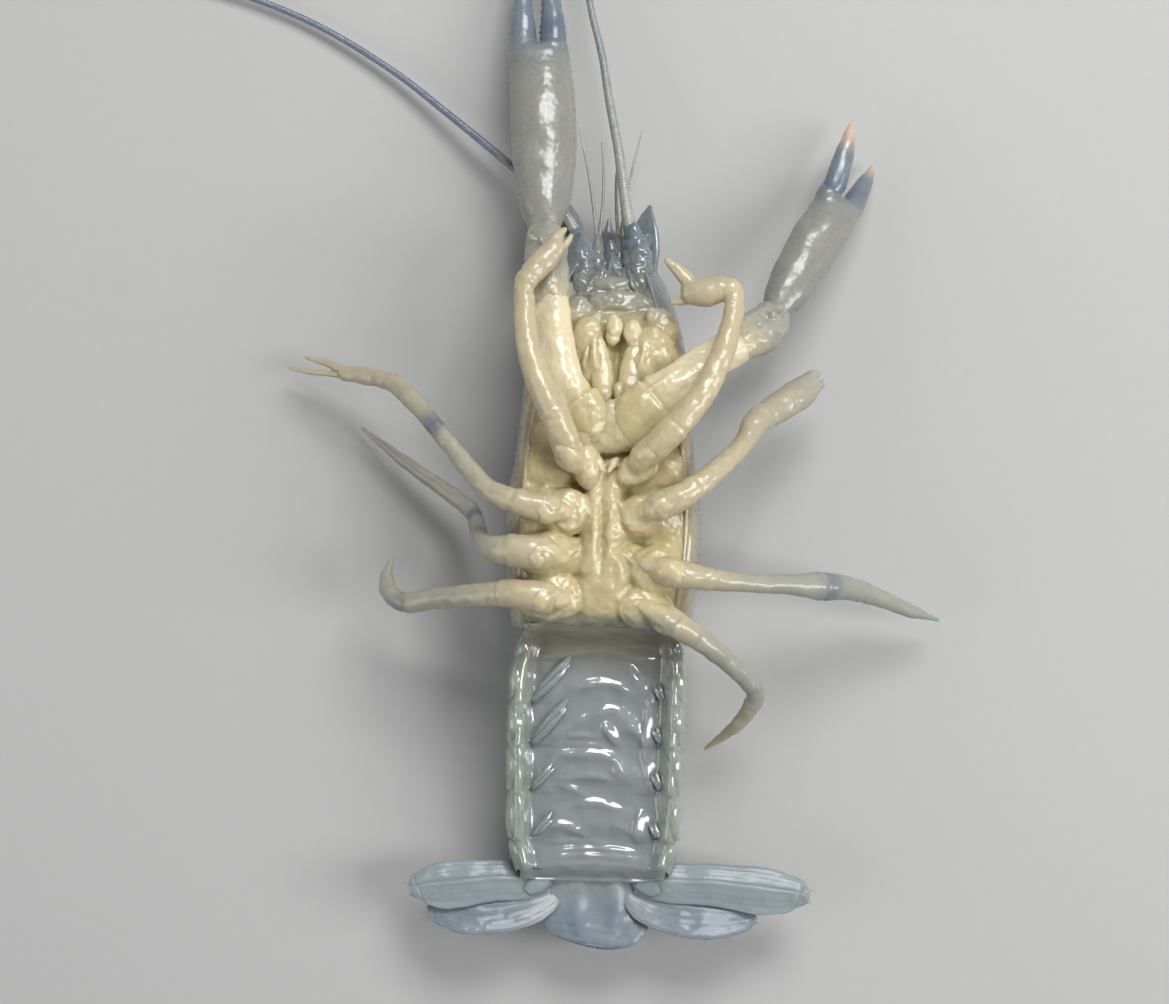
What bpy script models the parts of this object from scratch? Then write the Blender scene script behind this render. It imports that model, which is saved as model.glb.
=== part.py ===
"""A young blue crayfish at life size, lying on its back.

The sizes below are millimetres; main() turns the finished meshes into metres with MM. +Y points to
the head and +Z up. The animal lies on its back, so its back is at z 0, its underside faces up, and
its own left side is at +X. The origin is the middle of the flat on which the carapace rests.
"""

import math

import bmesh
import bpy
from mathutils import Matrix, Vector

MM = 0.001
GAP = 0.3
SIDES = {"left": 1, "right": -1}

# The shield over head and chest: sizes along y, each as pairs of (y, value).
REAR_Y = -9.8
FACE_Y = 17.5
HALF_WIDTH = [(-9.8, 6.9), (-6, 7.35), (-2.5, 7.45), (0, 7.3), (4.3, 6.75), (8, 6.4), (11, 6.1),
              (14.5, 5.3), (17.5, 4.1)]
BACK_Z = [(-9.8, 0.3), (-8, 0), (7, 0), (12, 0.35), (17.5, 0.9)]
WIDEST_Z = [(-9.8, 5.4), (0, 6.2), (9, 5.6), (17.5, 4.4)]
MARGIN_Z = [(-9.8, 11.0), (-7, 12.1), (3, 12.2), (6, 11.2), (9, 10.6), (13, 9.8), (17.5, 8.0)]
MARGIN_X = [(-9.8, 5.4), (-2, 6.2), (4, 5.8), (9, 5.0), (13, 4.2), (17.5, 2.9)]
CHEST_Z = 11.6
FLOOR_Z = [(-9.8, 10.9), (-9.0, CHEST_Z), (6.4, CHEST_Z), (8, 11.0), (10, 10.4), (13, 9.6), (17.5, 7.7)]
GROOVE_X = 0.7
GROOVE_DEPTH = 0.55
FLAT_SHARE = 0.30
SHIELD_POWER = 0.74

# The neck groove leans: its back end is at NECK_Y, and it runs forward by NECK_LEAN for each mm up.
NECK_Y = 2.2
NECK_LEAN = 0.62

# The beak between the eyes: (y, half width), with three spines on each edge.
BEAK = [(15.4, 2.0), (17.2, 1.75), (18.3, 1.55), (18.6, 1.15), (19.5, 1.2), (19.8, 0.8), (20.8, 0.8),
        (21.1, 0.4), (22.0, 0.12)]
BEAK_Z = 1.45
BEAK_THICK = 0.42

# The tail's six rings: their front edges, and sizes along y before the tail is bent.
RING_EDGES = [-10.1, -12.2, -15.5, -18.8, -22.5, -26.6, -30.4]
TAIL_HALF_WIDTH = [(-30.4, 6.0), (-26.6, 6.65), (-21, 6.85), (-14, 6.9), (-12, 6.7), (-10.1, 6.2)]
TAIL_SKIRT_Z = [(-30.4, 7.2), (-22, 8.8), (-14, 9.6), (-10.1, 9.2)]
TAIL_BELLY_Z = [(-30.4, 6.2), (-22, 7.2), (-14, 8.0), (-10.1, 8.2)]
TAIL_WIDEST_Z = 4.7

# The tail lies a little to its right, and curls up behind BEND_Y, over BEND_RUN, to BEND_ANGLE.
TAIL_SHIFT = -0.3
BEND_Y = -25.5
BEND_RUN = 8.0
BEND_ANGLE = math.radians(32)
BEND_Z = 1.0

# How far each outer tail lobe reaches, as a share of its drawn length.
OUTER_REACH = {"left": 1.07, "right": 0.9}

# Hips on the chest: (x, y, radius, height) on the left; the right ones mirror them.
HIPS = {
    1: (1.6, 4.6, 1.1, 1.4),
    2: (2.15, 1.9, 1.1, 1.4),
    3: (2.7, -1.0, 1.25, 1.5),
    4: (3.2, -4.5, 1.4, 1.6),
    5: (3.05, -7.7, 1.3, 1.5),
}

# Walking legs: (x, y, z, radius) from the hip to the tip, after the place of the knee in that list.
LEGS = {
    ("left", 2): (5, [(2.0, 2.3, 12.8, 1.0), (2.9, 3.3, 13.9, 1.05), (4.6, 4.9, 14.9, 1.05),
                      (6.9, 7.7, 14.8, 0.95),
                      (8.5, 10.9, 14.0, 0.85), (9.4, 14.7, 13.2, 0.75), (8.9, 15.9, 12.9, 0.9),
                      (7.3, 15.7, 12.6, 1.1), (6.1, 15.7, 12.4, 0.95)]),
    ("right", 2): (5, [(-2.0, 2.3, 12.8, 1.0), (-2.6, 3.2, 14.2, 1.05), (-3.7, 6.0, 15.3, 1.05),
                       (-4.9, 8.4, 15.2, 0.95),
                       (-5.9, 11.4, 14.6, 0.85), (-6.3, 15.2, 13.8, 0.75), (-6.0, 16.4, 13.6, 0.85),
                       (-4.9, 17.7, 13.3, 0.95), (-4.0, 18.8, 13.0, 0.8)]),
    ("left", 3): (4, [(2.7, -1.0, 12.9, 1.1), (3.9, -0.5, 13.5, 1.15), (6.4, 0.8, 13.6, 0.95),
                      (8.8, 2.8, 12.2, 0.8),
                      (10.4, 4.4, 10.7, 0.78), (11.4, 6.1, 9.4, 0.95), (12.7, 7.0, 8.2, 1.1),
                      (14.5, 8.2, 7.0, 1.2), (15.6, 9.1, 6.2, 1.0)]),
    ("right", 3): (5, [(-2.7, -1.1, 12.9, 1.1), (-3.9, -0.8, 13.5, 1.15), (-6.3, -0.3, 13.8, 0.95),
                       (-8.7, 0.6, 13.0, 0.8),
                       (-10.6, 2.6, 11.8, 0.72), (-12.6, 5.0, 10.5, 0.66), (-14.5, 7.1, 9.0, 0.74),
                       (-16.5, 8.7, 7.2, 0.7), (-20.2, 9.4, 4.9, 0.58)]),
    ("left", 4): (5, [(3.2, -4.7, 12.9, 1.2), (4.8, -5.2, 13.4, 1.15), (7.6, -5.7, 13.3, 0.85),
                      (11.0, -6.0, 12.4, 0.68),
                      (14.1, -6.1, 11.2, 0.75), (16.6, -6.2, 9.9, 1.05), (18.9, -6.4, 8.3, 0.85),
                      (21.3, -7.1, 6.5, 0.68),
                      (23.9, -8.1, 4.8, 0.5), (26.2, -8.8, 3.4, 0.14)]),
    ("right", 4): (5, [(-3.1, -4.4, 12.9, 1.25), (-4.3, -4.1, 13.7, 1.3), (-6.6, -3.9, 13.9, 1.2),
                       (-8.4, -3.8, 12.9, 0.95),
                       (-9.3, -3.2, 9.8, 0.75), (-9.8, -1.8, 5.9, 0.66), (-10.5, -0.8, 4.4, 0.66),
                       (-12.8, 0.8, 3.2, 0.6),
                       (-15.6, 2.7, 2.3, 0.45), (-19.0, 5.2, 1.5, 0.14)]),
    ("left", 5): (4, [(3.1, -7.9, 12.8, 1.15), (4.5, -8.7, 13.1, 1.1), (6.6, -9.8, 12.5, 0.9),
                      (9.3, -11.8, 10.9, 0.75),
                      (11.6, -14.0, 9.0, 0.72), (11.6, -15.5, 7.7, 0.68), (10.4, -17.3, 5.9, 0.52),
                      (8.3, -19.1, 4.0, 0.14)]),
    ("right", 5): (5, [(-3.0, -7.6, 12.8, 1.2), (-4.1, -7.4, 13.4, 1.25), (-6.8, -7.1, 13.5, 1.0),
                       (-9.9, -7.4, 11.9, 0.85),
                       (-12.6, -7.7, 10.1, 0.8), (-14.9, -8.1, 8.9, 0.75), (-16.2, -7.4, 8.0, 0.66),
                       (-16.5, -6.1, 7.1, 0.5), (-16.2, -4.8, 6.4, 0.14)]),
}

# The small pincers that end the second and third legs: where each finger tip lies.
PINCERS = {
    ("left", 2): [(4.1, 18.2, 12.4), (4.7, 14.9, 12.2)],
    ("right", 2): [(-3.2, 20.3, 12.7), (-2.8, 19.8, 12.7)],
    ("left", 3): [(16.5, 10.2, 5.4), (16.9, 9.6, 5.2)],
    ("right", 3): [(-23.6, 10.7, 3.2), (-24.8, 9.8, 2.8)],
}

# Claw arms: (x, y, z, half width, half thickness) along the upper arm, then along the wrist.
ARMS = {
    "left": ([(1.7, 4.7, 12.9, 1.0, 0.9), (2.5, 5.6, 13.05, 1.3, 1.05), (3.7, 6.9, 13.0, 1.5, 1.05),
              (5.5, 8.6, 12.5, 1.55, 1.05),
              (7.9, 10.6, 11.6, 1.5, 1.15), (9.9, 11.9, 10.6, 1.45, 1.25)],
             [(9.9, 11.9, 10.6, 1.4, 1.25), (10.9, 12.5, 9.9, 1.65, 1.45), (12.0, 13.3, 8.9, 1.7, 1.5),
              (12.7, 14.3, 7.9, 1.35, 1.25)]),
    "right": ([(-1.7, 4.7, 12.9, 1.0, 0.9), (-2.2, 5.7, 13.05, 1.3, 1.05), (-2.8, 6.8, 13.0, 1.45, 1.05),
               (-3.4, 8.4, 12.5, 1.5, 1.05),
               (-3.8, 11.2, 12.0, 1.5, 1.15), (-4.3, 15.0, 11.3, 1.4, 1.25)],
              [(-4.3, 15.0, 11.3, 1.4, 1.25), (-4.45, 16.6, 10.8, 1.55, 1.4),
               (-4.7, 18.6, 9.8, 1.6, 1.45), (-4.9, 20.2, 8.5, 1.3, 1.2)]),
}

# Claws: the palm, its fixed finger and its moving finger, as (x, y, z, half width, half thickness).
CLAWS = {
    "left": ([(12.95, 14.9, 7.4, 1.2, 1.05), (13.7, 16.3, 6.8, 1.7, 1.35), (15.2, 18.9, 5.7, 1.95, 1.5),
              (16.6, 21.3, 4.7, 1.97, 1.4), (17.6, 23.0, 4.0, 1.85, 1.2)],
             [(17.5, 21.2, 4.5, 0.9, 0.85), (18.7, 22.9, 3.6, 0.9, 0.85), (19.8, 24.9, 2.5, 0.72, 0.65),
              (20.6, 26.5, 1.3, 0.2, 0.2)],
             [(16.95, 23.95, 4.1, 0.8, 0.85), (17.45, 24.9, 4.1, 0.85, 0.85),
              (17.95, 26.6, 3.9, 0.8, 0.75), (18.4, 28.2, 3.6, 0.6, 0.55),
              (18.75, 29.8, 3.3, 0.16, 0.16)]),
    "right": ([(-4.95, 20.85, 7.7, 1.3, 1.1), (-5.0, 22.6, 7.2, 1.95, 1.45),
               (-5.1, 26.0, 6.3, 2.5, 1.75), (-5.3, 30.2, 5.3, 2.55, 1.7), (-5.7, 34.3, 4.3, 2.35, 1.4)],
              [(-6.7, 32.0, 4.8, 1.0, 1.0), (-6.9, 35.0, 4.0, 1.1, 1.1), (-7.05, 38.8, 3.1, 0.75, 0.85),
               (-6.9, 42.0, 2.2, 0.55, 0.6), (-6.4, 44.2, 1.6, 0.16, 0.16)],
              [(-4.6, 34.8, 4.2, 1.05, 1.05), (-4.65, 36.2, 3.9, 1.0, 1.0),
               (-4.85, 38.8, 3.2, 0.75, 0.85), (-5.3, 41.8, 2.3, 0.55, 0.6),
               (-6.0, 43.9, 1.7, 0.16, 0.16)]),
}
MOUTH_X = 0.4

# Feelers: points (x, y, z, radius) of each long one, and where it is split into two lengths.
FEELERS = {
    "left": (5, [(1.5, 20.7, 6.2, 0.45), (1.2, 22.0, 5.9, 0.4), (0.6, 27.0, 5.2, 0.34),
                 (-0.2, 31.0, 4.6, 0.31), (-0.8, 34.4, 4.0, 0.3),
                 (-1.9, 39.0, 3.2, 0.29), (-2.6, 45.0, 2.2, 0.28), (-2.4, 52.0, 1.4, 0.27),
                 (-0.8, 59.0, 0.9, 0.26), (1.6, 65.0, 0.7, 0.12)]),
    "right": (4, [(-2.6, 20.6, 5.6, 0.45), (-3.2, 21.6, 5.1, 0.42), (-4.4, 23.0, 4.3, 0.38),
                  (-7.6, 25.8, 3.0, 0.34), (-12.8, 30.0, 1.8, 0.31),
                  (-17.6, 33.6, 1.2, 0.29), (-24.0, 37.2, 0.9, 0.28), (-31.0, 39.6, 0.8, 0.26),
                  (-38.0, 40.4, 0.7, 0.12)]),
}
FEELER_STEMS = {
    "left": [(2.3, 17.8, 6.5, 0.95), (2.15, 18.8, 6.5, 0.9), (1.85, 19.6, 6.4, 0.7),
             (1.6, 20.4, 6.25, 0.5)],
    "right": [(-2.3, 17.8, 6.5, 0.95), (-2.3, 18.8, 6.4, 0.9), (-2.35, 19.6, 6.1, 0.7),
              (-2.5, 20.3, 5.8, 0.5)],
}

COLOURS = {
    "shell": ((0.30, 0.38, 0.42), 0.28),
    "cream": ((0.62, 0.54, 0.34), 0.34),
    "limb": ((0.52, 0.53, 0.44), 0.30),
    "claw": ((0.27, 0.34, 0.38), 0.25),
    "tail": ((0.30, 0.37, 0.39), 0.25),
    "eye": ((0.01, 0.01, 0.012), 0.08),
}


def material(name, kind):
    colour, roughness = COLOURS[kind]
    made = bpy.data.materials.new(name)
    made.use_nodes = True
    shader = made.node_tree.nodes["Principled BSDF"]
    shader.inputs["Base Color"].default_value = (*colour, 1)
    shader.inputs["Roughness"].default_value = roughness
    shader.inputs["Metallic"].default_value = 0
    return made


def smooth(table, place):
    """The value at place of a smooth curve through (place, value) pairs, with no overshoot."""
    if place <= table[0][0]:
        return table[0][1]
    if place >= table[-1][0]:
        return table[-1][1]
    i = max(k for k in range(len(table) - 1) if table[k][0] <= place)
    rises = [(b[1] - a[1]) / (b[0] - a[0]) for a, b in zip(table, table[1:])]

    def slope(k):
        if k == 0 or k == len(rises):
            return rises[min(k, len(rises) - 1)]
        return 0 if rises[k - 1] * rises[k] <= 0 else (rises[k - 1] + rises[k]) / 2

    (start, low), (end, high) = table[i], table[i + 1]
    run = end - start
    f = (place - start) / run
    near = (2 * f**3 - 3 * f**2 + 1) * low + (f**3 - 2 * f**2 + f) * run * slope(i)
    return near + (3 * f**2 - 2 * f**3) * high + (f**3 - f**2) * run * slope(i + 1)


def through(points, t):
    """The point at t, counted in points, of a smooth curve through equal lists of numbers."""
    i = min(int(t), len(points) - 2)
    f = t - i
    a, b, c, d = (points[min(max(k, 0), len(points) - 1)] for k in (i - 1, i, i + 1, i + 2))
    return [
        0.5 * (2 * q + (r - p) * f + (2 * p - 5 * q + 4 * r - s) * f**2 + (3 * q - p - 3 * r + s) * f**3)
        for p, q, r, s in zip(a, b, c, d)
    ]


def rounded(value, power):
    return math.copysign(abs(value) ** power, value)


def skin_of(rings):
    """A closed surface through rings of equal count, with a fan on each end: (points, faces)."""
    count = len(rings[0])
    points = [p for ring in rings for p in ring]
    faces = []
    for i in range(len(rings) - 1):
        for k in range(count):
            n = (k + 1) % count
            faces.append((i * count + k, i * count + n, (i + 1) * count + n, (i + 1) * count + k))
    for ring, first in ((rings[0], 0), (rings[-1], (len(rings) - 1) * count)):
        points.append(sum((Vector(p) for p in ring), Vector()) / count)
        faces += [(len(points) - 1, first + k, first + (k + 1) % count) for k in range(count)]
    return points, faces


def tube(points, sides=8, per=2, start=0.0, end=None, cut_start=0.0, cut_end=0.0, up=(0, 0, 1),
         power=1.0):
    """A closed tube along points of (x, y, z, half width[, half thickness]), from start to end counted in points.

    cut_start and cut_end shorten its ends by that many mm, which leaves the gap to what it meets.
    """
    end = len(points) - 1 if end is None else end

    def place(t):
        return Vector(through(points, t)[:3])

    start += cut_start / max((place(min(start + 0.1, end)) - place(start)).length * 10, 0.01)
    end -= cut_end / max((place(end) - place(max(end - 0.1, start))).length * 10, 0.01)
    steps = max(2, round((end - start) * per))
    normal = Vector(up)
    rings = []
    for i in range(steps + 1):
        t = start + (end - start) * i / steps
        along = (place(min(t + 0.02, len(points) - 1)) - place(max(t - 0.02, 0))).normalized()
        normal = (normal - along * normal.dot(along)).normalized()
        across = normal.cross(along)
        row = through(points, t)
        wide, thick = row[3], row[-1]
        turns = [2 * math.pi * (k + 0.5) / sides for k in range(sides)]
        rings.append(
            [
                place(t) + across * wide * rounded(math.cos(a),
                                                   power) + normal * thick * rounded(math.sin(a), power)
                for a in turns
            ]
        )
    return skin_of(rings)


def bent(p):
    """Where a point of the straight tail lies once the tail curls up behind BEND_Y."""
    x, y, z = p
    x += TAIL_SHIFT * min(1.0, (REAR_Y - y) / 6)
    run = BEND_Y - y
    if run <= 0:
        return Vector((x, y, z))
    radius = BEND_RUN / BEND_ANGLE
    angle = min(run, BEND_RUN) / radius
    past = max(0.0, run - BEND_RUN)
    inner = radius - (z - BEND_Z)
    return Vector((
        x,
        BEND_Y - inner * math.sin(angle) - past * math.cos(angle),
        BEND_Z + radius - inner * math.cos(angle) + past * math.sin(angle),
    ))


def mesh_object(name, piece, kind, shape=None):
    points, faces = piece
    if shape:
        points = [shape(p) for p in points]
    grid = bmesh.new()
    made = [grid.verts.new(p) for p in points]
    for face in faces:
        grid.faces.new([made[i] for i in face])
    bmesh.ops.triangulate(grid, faces=grid.faces)
    bmesh.ops.recalc_face_normals(grid, faces=grid.faces)
    if grid.calc_volume(signed=True) < 0:
        bmesh.ops.reverse_faces(grid, faces=grid.faces)
    mesh = bpy.data.meshes.new(name)
    grid.to_mesh(mesh)
    grid.free()
    mesh.shade_smooth()
    mesh.materials.append(material(name, kind))
    made_object = bpy.data.objects.new(name, mesh)
    bpy.context.scene.collection.objects.link(made_object)
    return made_object


def keep_largest(mesh):
    """Removes every closed surface of the mesh but the largest."""
    grid = bmesh.new()
    grid.from_mesh(mesh)
    left, groups = set(grid.verts), []
    while left:
        group, edge = set(), {left.pop()}
        while edge:
            vert = edge.pop()
            group.add(vert)
            edge |= {e.other_vert(vert) for e in vert.link_edges} - group
        left -= group
        groups.append(group)
    groups.sort(key=len)
    bmesh.ops.delete(grid, geom=[v for group in groups[:-1] for v in group], context="VERTS")
    grid.to_mesh(mesh)
    grid.free()


def fused(name, pieces, kind, shape=None):
    """One closed body from overlapping pieces, by a Boolean union."""
    base = mesh_object(name, pieces[0], kind, shape)
    if len(pieces) == 1:
        return base
    others = bpy.data.collections.new(name + "_pieces")
    bpy.context.scene.collection.children.link(others)
    for number, piece in enumerate(pieces[1:]):
        other = mesh_object(f"{name}_piece_{number}", piece, kind, shape)
        bpy.context.scene.collection.objects.unlink(other)
        others.objects.link(other)
    union = base.modifiers.new("union", "BOOLEAN")
    union.operation = "UNION"
    union.operand_type = "COLLECTION"
    union.collection = others
    union.solver = "MANIFOLD"
    bpy.context.view_layer.update()
    whole = bpy.data.meshes.new_from_object(base.evaluated_get(bpy.context.evaluated_depsgraph_get()))
    base.modifiers.clear()
    base.data = whole
    keep_largest(whole)
    for other in list(others.objects):
        bpy.data.materials.remove(other.data.materials[0])
        bpy.data.objects.remove(other)
    bpy.data.collections.remove(others)
    return base


def cone(foot, tip, radius, sides=6):
    """A spine from foot to tip."""
    return tube([(*foot, radius), (*tip, 0.06)], sides=sides, per=2)


def shield_section(y, count=8):
    """One side of the shield's section at y, from the middle of the back to the middle of the chest."""
    wide, back, widest = smooth(HALF_WIDTH, y), smooth(BACK_Z, y), smooth(WIDEST_Z, y)
    margin_x, margin_z, floor = smooth(MARGIN_X, y), smooth(MARGIN_Z, y), smooth(FLOOR_Z, y)
    points = []
    for k in range(count + 1):
        a = math.pi / 2 * k / count
        points.append((wide * math.sin(a) ** SHIELD_POWER,
                       widest - (widest - back) * math.cos(a) ** SHIELD_POWER))
    points[1] = (wide * FLAT_SHARE, back)
    for k in (1, 2, 3):
        a = math.pi / 2 * k / 3
        points.append((margin_x + (wide - margin_x) * math.cos(a),
                       widest + (margin_z - widest) * math.sin(a)))
    points.append((margin_x - GROOVE_X * 0.5, floor - GROOVE_DEPTH))
    points.append((margin_x - GROOVE_X * 1.6, floor))
    points.append((margin_x * 0.4, floor))
    points.append((0, floor))
    return points


def shield_ring(y_at):
    """A ring of the shield whose y at height z is y_at(z)."""
    rough = shield_section(y_at(5))
    half = []
    for k, (_, z) in enumerate(rough):
        x, z = shield_section(y_at(z))[k]
        x, z = shield_section(y_at(z))[k]
        half.append((x, y_at(z), z))
    return half + [(-x, y, z) for x, y, z in half[-2:0:-1]]


def neck(z):
    return NECK_Y + NECK_LEAN * z


def between(low, high, share):
    """A y for each height, a share of the way from low to high."""
    return lambda z: low(z) * (1 - share) + high(z) * share


def build_shield():
    rear, face = (lambda z: REAR_Y), (lambda z: FACE_Y)
    chest_shares = (0, 0.06, 0.16, 0.3, 0.45, 0.6, 0.75, 0.9, 1)
    mesh_object(
        "thorax",
        skin_of([shield_ring(between(rear, lambda z: neck(z) - GAP, s)) for s in chest_shares]),
        "shell",
    )
    head_shares = (0, 0.12, 0.3, 0.48, 0.66, 0.84, 1)
    head = skin_of([shield_ring(between(neck, face, s)) for s in head_shares])
    beak = tube([(0, y, BEAK_Z, wide, BEAK_THICK if wide > 0.5 else wide) for y, wide in BEAK], sides=8,
                per=1, power=0.75)
    fused("head", [head, beak], "shell")


def build_breastplate():
    """The narrow keel between the hips."""
    outline = [(-9.2, 0.9), (-7.7, 1.25), (-6.1, 1.9), (-4.5, 1.35), (-2.7, 1.7), (-1.0, 1.05),
               (0.5, 1.15), (1.9, 0.7), (3.0, 0.65), (3.6, 0.3)]
    foot = CHEST_Z + GAP
    rings = []
    for y, wide in outline:
        rings.append(
            [(-wide, y, foot), (-wide, y, foot + 0.5), (-wide * 0.35, y, foot + 0.75),
             (0, y, foot + 1.1),
             (wide * 0.35, y, foot + 0.75), (wide, y, foot + 0.5), (wide, y, foot)]
        )
    mesh_object("breastplate", skin_of(rings), "cream")


def hip(side, number):
    x, y, radius, height = HIPS[number]
    x *= SIDES[side]
    foot = CHEST_Z + GAP
    return tube(
        [(x, y, foot, radius), (x, y, foot + height * 0.55, radius),
         (x, y, foot + height * 0.85, radius * 0.8), (x, y, foot + height, radius * 0.45)],
        sides=10, per=1, up=(0, 1, 0),
    )


def build_legs():
    for (side, number), (knee, points) in LEGS.items():
        upper = tube(points, end=knee, cut_end=GAP / 2)
        fused(f"leg_{number}_{side}_upper", [hip(side, number), upper], "cream")
        lower = tube(points, start=knee, cut_start=GAP / 2)
        pieces = [lower]
        for tip in PINCERS.get((side, number), []):
            foot = Vector(points[-1][:3])
            back = foot + (foot - Vector(points[-2][:3])).normalized() * -0.5
            middle = (foot + Vector(tip)) / 2
            pieces.append(tube([(*back, 0.32), (*middle, 0.34), (*tip, 0.12)], sides=6, per=2))
        fused(f"leg_{number}_{side}_lower", pieces, "limb")


def build_claws():
    for side, sign in SIDES.items():
        upper, wrist = ARMS[side]
        middle = Vector(upper[4][:3])
        arm = tube(upper, sides=10, cut_end=GAP / 2)
        spine = cone(middle, middle + Vector((sign * -1.5, 1.6, 0.6)), 0.4)
        fused(f"claw_{side}_arm", [hip(side, 1), arm, spine], "cream")
        middle = Vector(wrist[2][:3])
        spine = cone(middle, middle + Vector((sign * 1.6, 1.5, 0.9)), 0.45)
        fused(f"claw_{side}_wrist", [tube(wrist, sides=10, cut_start=GAP / 2), spine], "limb")
        palm, fixed, moving = CLAWS[side]
        palm = tube(palm, sides=12, power=0.9)
        fused(f"claw_{side}_hand", [palm, tube(fixed, sides=10, power=0.9)], "claw")
        mesh_object(f"claw_{side}_finger", tube(moving, sides=10, power=0.9), "claw")


def build_face():
    for side, sign in SIDES.items():
        stalk = [(sign * 2.35, FACE_Y + GAP, 3.0, 0.5), (sign * 2.55, 18.3, 3.0, 0.6),
                 (sign * 2.75, 18.8, 2.95, 0.9),
                 (sign * 2.95, 19.4, 2.85, 0.95), (sign * 3.1, 20.0, 2.8, 0.7),
                 (sign * 3.15, 20.2, 2.8, 0.2)]
        mesh_object(f"eye_{side}", tube(stalk, sides=12, per=2), "eye")
        stem = tube([(sign * 0.8, FACE_Y + GAP, 4.4, 0.5), (sign * 0.8, 18.8, 4.4, 0.5),
                     (sign * 0.85, 20.0, 4.3, 0.42), (sign * 0.85, 20.4, 4.3, 0.3)])
        outer = tube([(sign * 0.85, 19.8, 4.3, 0.26), (sign * 1.2, 22.5, 4.0, 0.26),
                      (sign * 1.7, 25.5, 3.6, 0.24), (sign * 2.5, 29.0, 3.0, 0.1)], sides=6)
        inner = tube([(sign * 0.8, 19.8, 4.4, 0.26), (sign * 0.55, 22.5, 4.3, 0.26),
                      (sign * 0.5, 25.0, 4.0, 0.24), (sign * 0.7, 27.8, 3.6, 0.1)], sides=6)
        fused(f"small_feelers_{side}", [stem, outer, inner], "limb")
        mesh_object(f"feeler_{side}_stem", tube(FEELER_STEMS[side], sides=10, cut_end=0), "limb")
        split, points = FEELERS[side]
        mesh_object(f"feeler_{side}_near", tube(points, sides=6, end=split, cut_end=GAP / 2), "claw")
        mesh_object(f"feeler_{side}_far", tube(points, sides=6, start=split, cut_start=GAP / 2), "claw")
        scale = [(sign * 3.0, FACE_Y + GAP, 4.6, 0.6, 0.28), (sign * 3.0, 19.0, 4.5, 0.95, 0.3),
                 (sign * 2.95, 20.6, 4.3, 0.95, 0.3),
                 (sign * 3.0, 21.8, 4.1, 0.6, 0.28), (sign * 3.2, 22.9, 3.9, 0.12, 0.12)]
        mesh_object(f"feeler_scale_{side}", tube(scale, sides=8, power=0.7), "shell")
        mouth_x = MOUTH_X + sign * 0.95
        jaw = [(mouth_x, 11.9, 10.75, 0.45, 0.4), (mouth_x, 12.5, 10.65, 0.66, 0.5),
               (mouth_x, 13.5, 10.35, 0.64, 0.5), (mouth_x, 14.1, 10.1, 0.4, 0.35)]
        mesh_object(f"jaw_{side}", tube(jaw, sides=8), "cream")
        foot_jaw = [(0.85, 7.3, 12.1, 0.35, 0.35), (0.95, 8.2, 12.0, 0.6, 0.5),
                    (1.15, 9.3, 11.6, 0.72, 0.55), (1.35, 10.5, 11.5, 0.7, 0.5),
                    (1.3, 11.4, 11.6, 0.5, 0.42), (1.15, 12.1, 11.75, 0.38, 0.35),
                    (0.8, 12.7, 11.7, 0.18, 0.18)]
        foot_jaw = [(MOUTH_X + sign * x, *rest) for x, *rest in foot_jaw]
        mesh_object(f"foot_jaw_{side}", tube(foot_jaw, sides=10, power=0.85), "cream")


def tail_ring(y, share):
    """A ring of the tail at y, share of the way from its segment's front edge to its rear edge."""
    lobe = math.sin(math.pi * (0.1 + 0.8 * share)) ** 0.7
    wide = smooth(TAIL_HALF_WIDTH, y) * (0.955 + 0.045 * lobe)
    back = 0.35 * max(0.0, 1 - share / 0.2) ** 2
    belly = smooth(TAIL_BELLY_Z, y)
    skirt = belly + 0.15 + (smooth(TAIL_SKIRT_Z, y) - belly) * lobe
    bar = 0.45 * math.exp(-(((share - 0.35) / 0.18) ** 2))
    half = []
    for k in range(8):
        a = math.pi / 2 * k / 7
        half.append((wide * math.sin(a) ** 0.8,
                     TAIL_WIDEST_Z - (TAIL_WIDEST_Z - back) * math.cos(a) ** 0.8))
    half[1] = (wide * FLAT_SHARE, back)
    half += [(wide * 0.985, (TAIL_WIDEST_Z + skirt) / 2), (wide * 0.93, skirt - 0.15),
             (wide * 0.86, skirt)]
    half += [(wide * 0.80, belly), (wide * 0.66, belly - 0.25 + bar), (wide * 0.33, belly - 0.1 + bar),
             (0, belly + bar)]
    return [(x, y, z) for x, z in half] + [(-x, y, z) for x, z in half[-2:0:-1]]


def swimmeret(side, y):
    """A small flat paddle from the belly of the ring at y, lying back along it."""
    belly = smooth(TAIL_BELLY_Z, y)
    root, tip = {"left": (4.3, 3.4), "right": (-3.5, -4.5)}[side]
    points = [(root, y + 0.7, belly - 0.8, 0.38, 0.3), (root, y + 0.1, belly + 0.4, 0.38, 0.3),
              (root, y - 0.8, belly + 1.2, 0.5, 0.27),
              ((root + tip) / 2, y - 2.3, belly + 1.7, 0.62, 0.26),
              (tip, y - 3.9, belly + 1.8, 0.25, 0.2)]
    return tube(points, sides=6, per=2)


def build_tail():
    for number in range(1, 7):
        front, rear = RING_EDGES[number - 1], RING_EDGES[number] + GAP
        shares = (0, 0.12, 0.3, 0.5, 0.7, 0.88, 1)
        body = skin_of([tail_ring(front + (rear - front) * s, s) for s in shares])
        pieces = [body]
        if 2 <= number <= 5:
            pieces += [swimmeret(side, front + (rear - front) * 0.4) for side in SIDES]
        fused(f"tail_ring_{number}", pieces, "tail", shape=bent)


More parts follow.
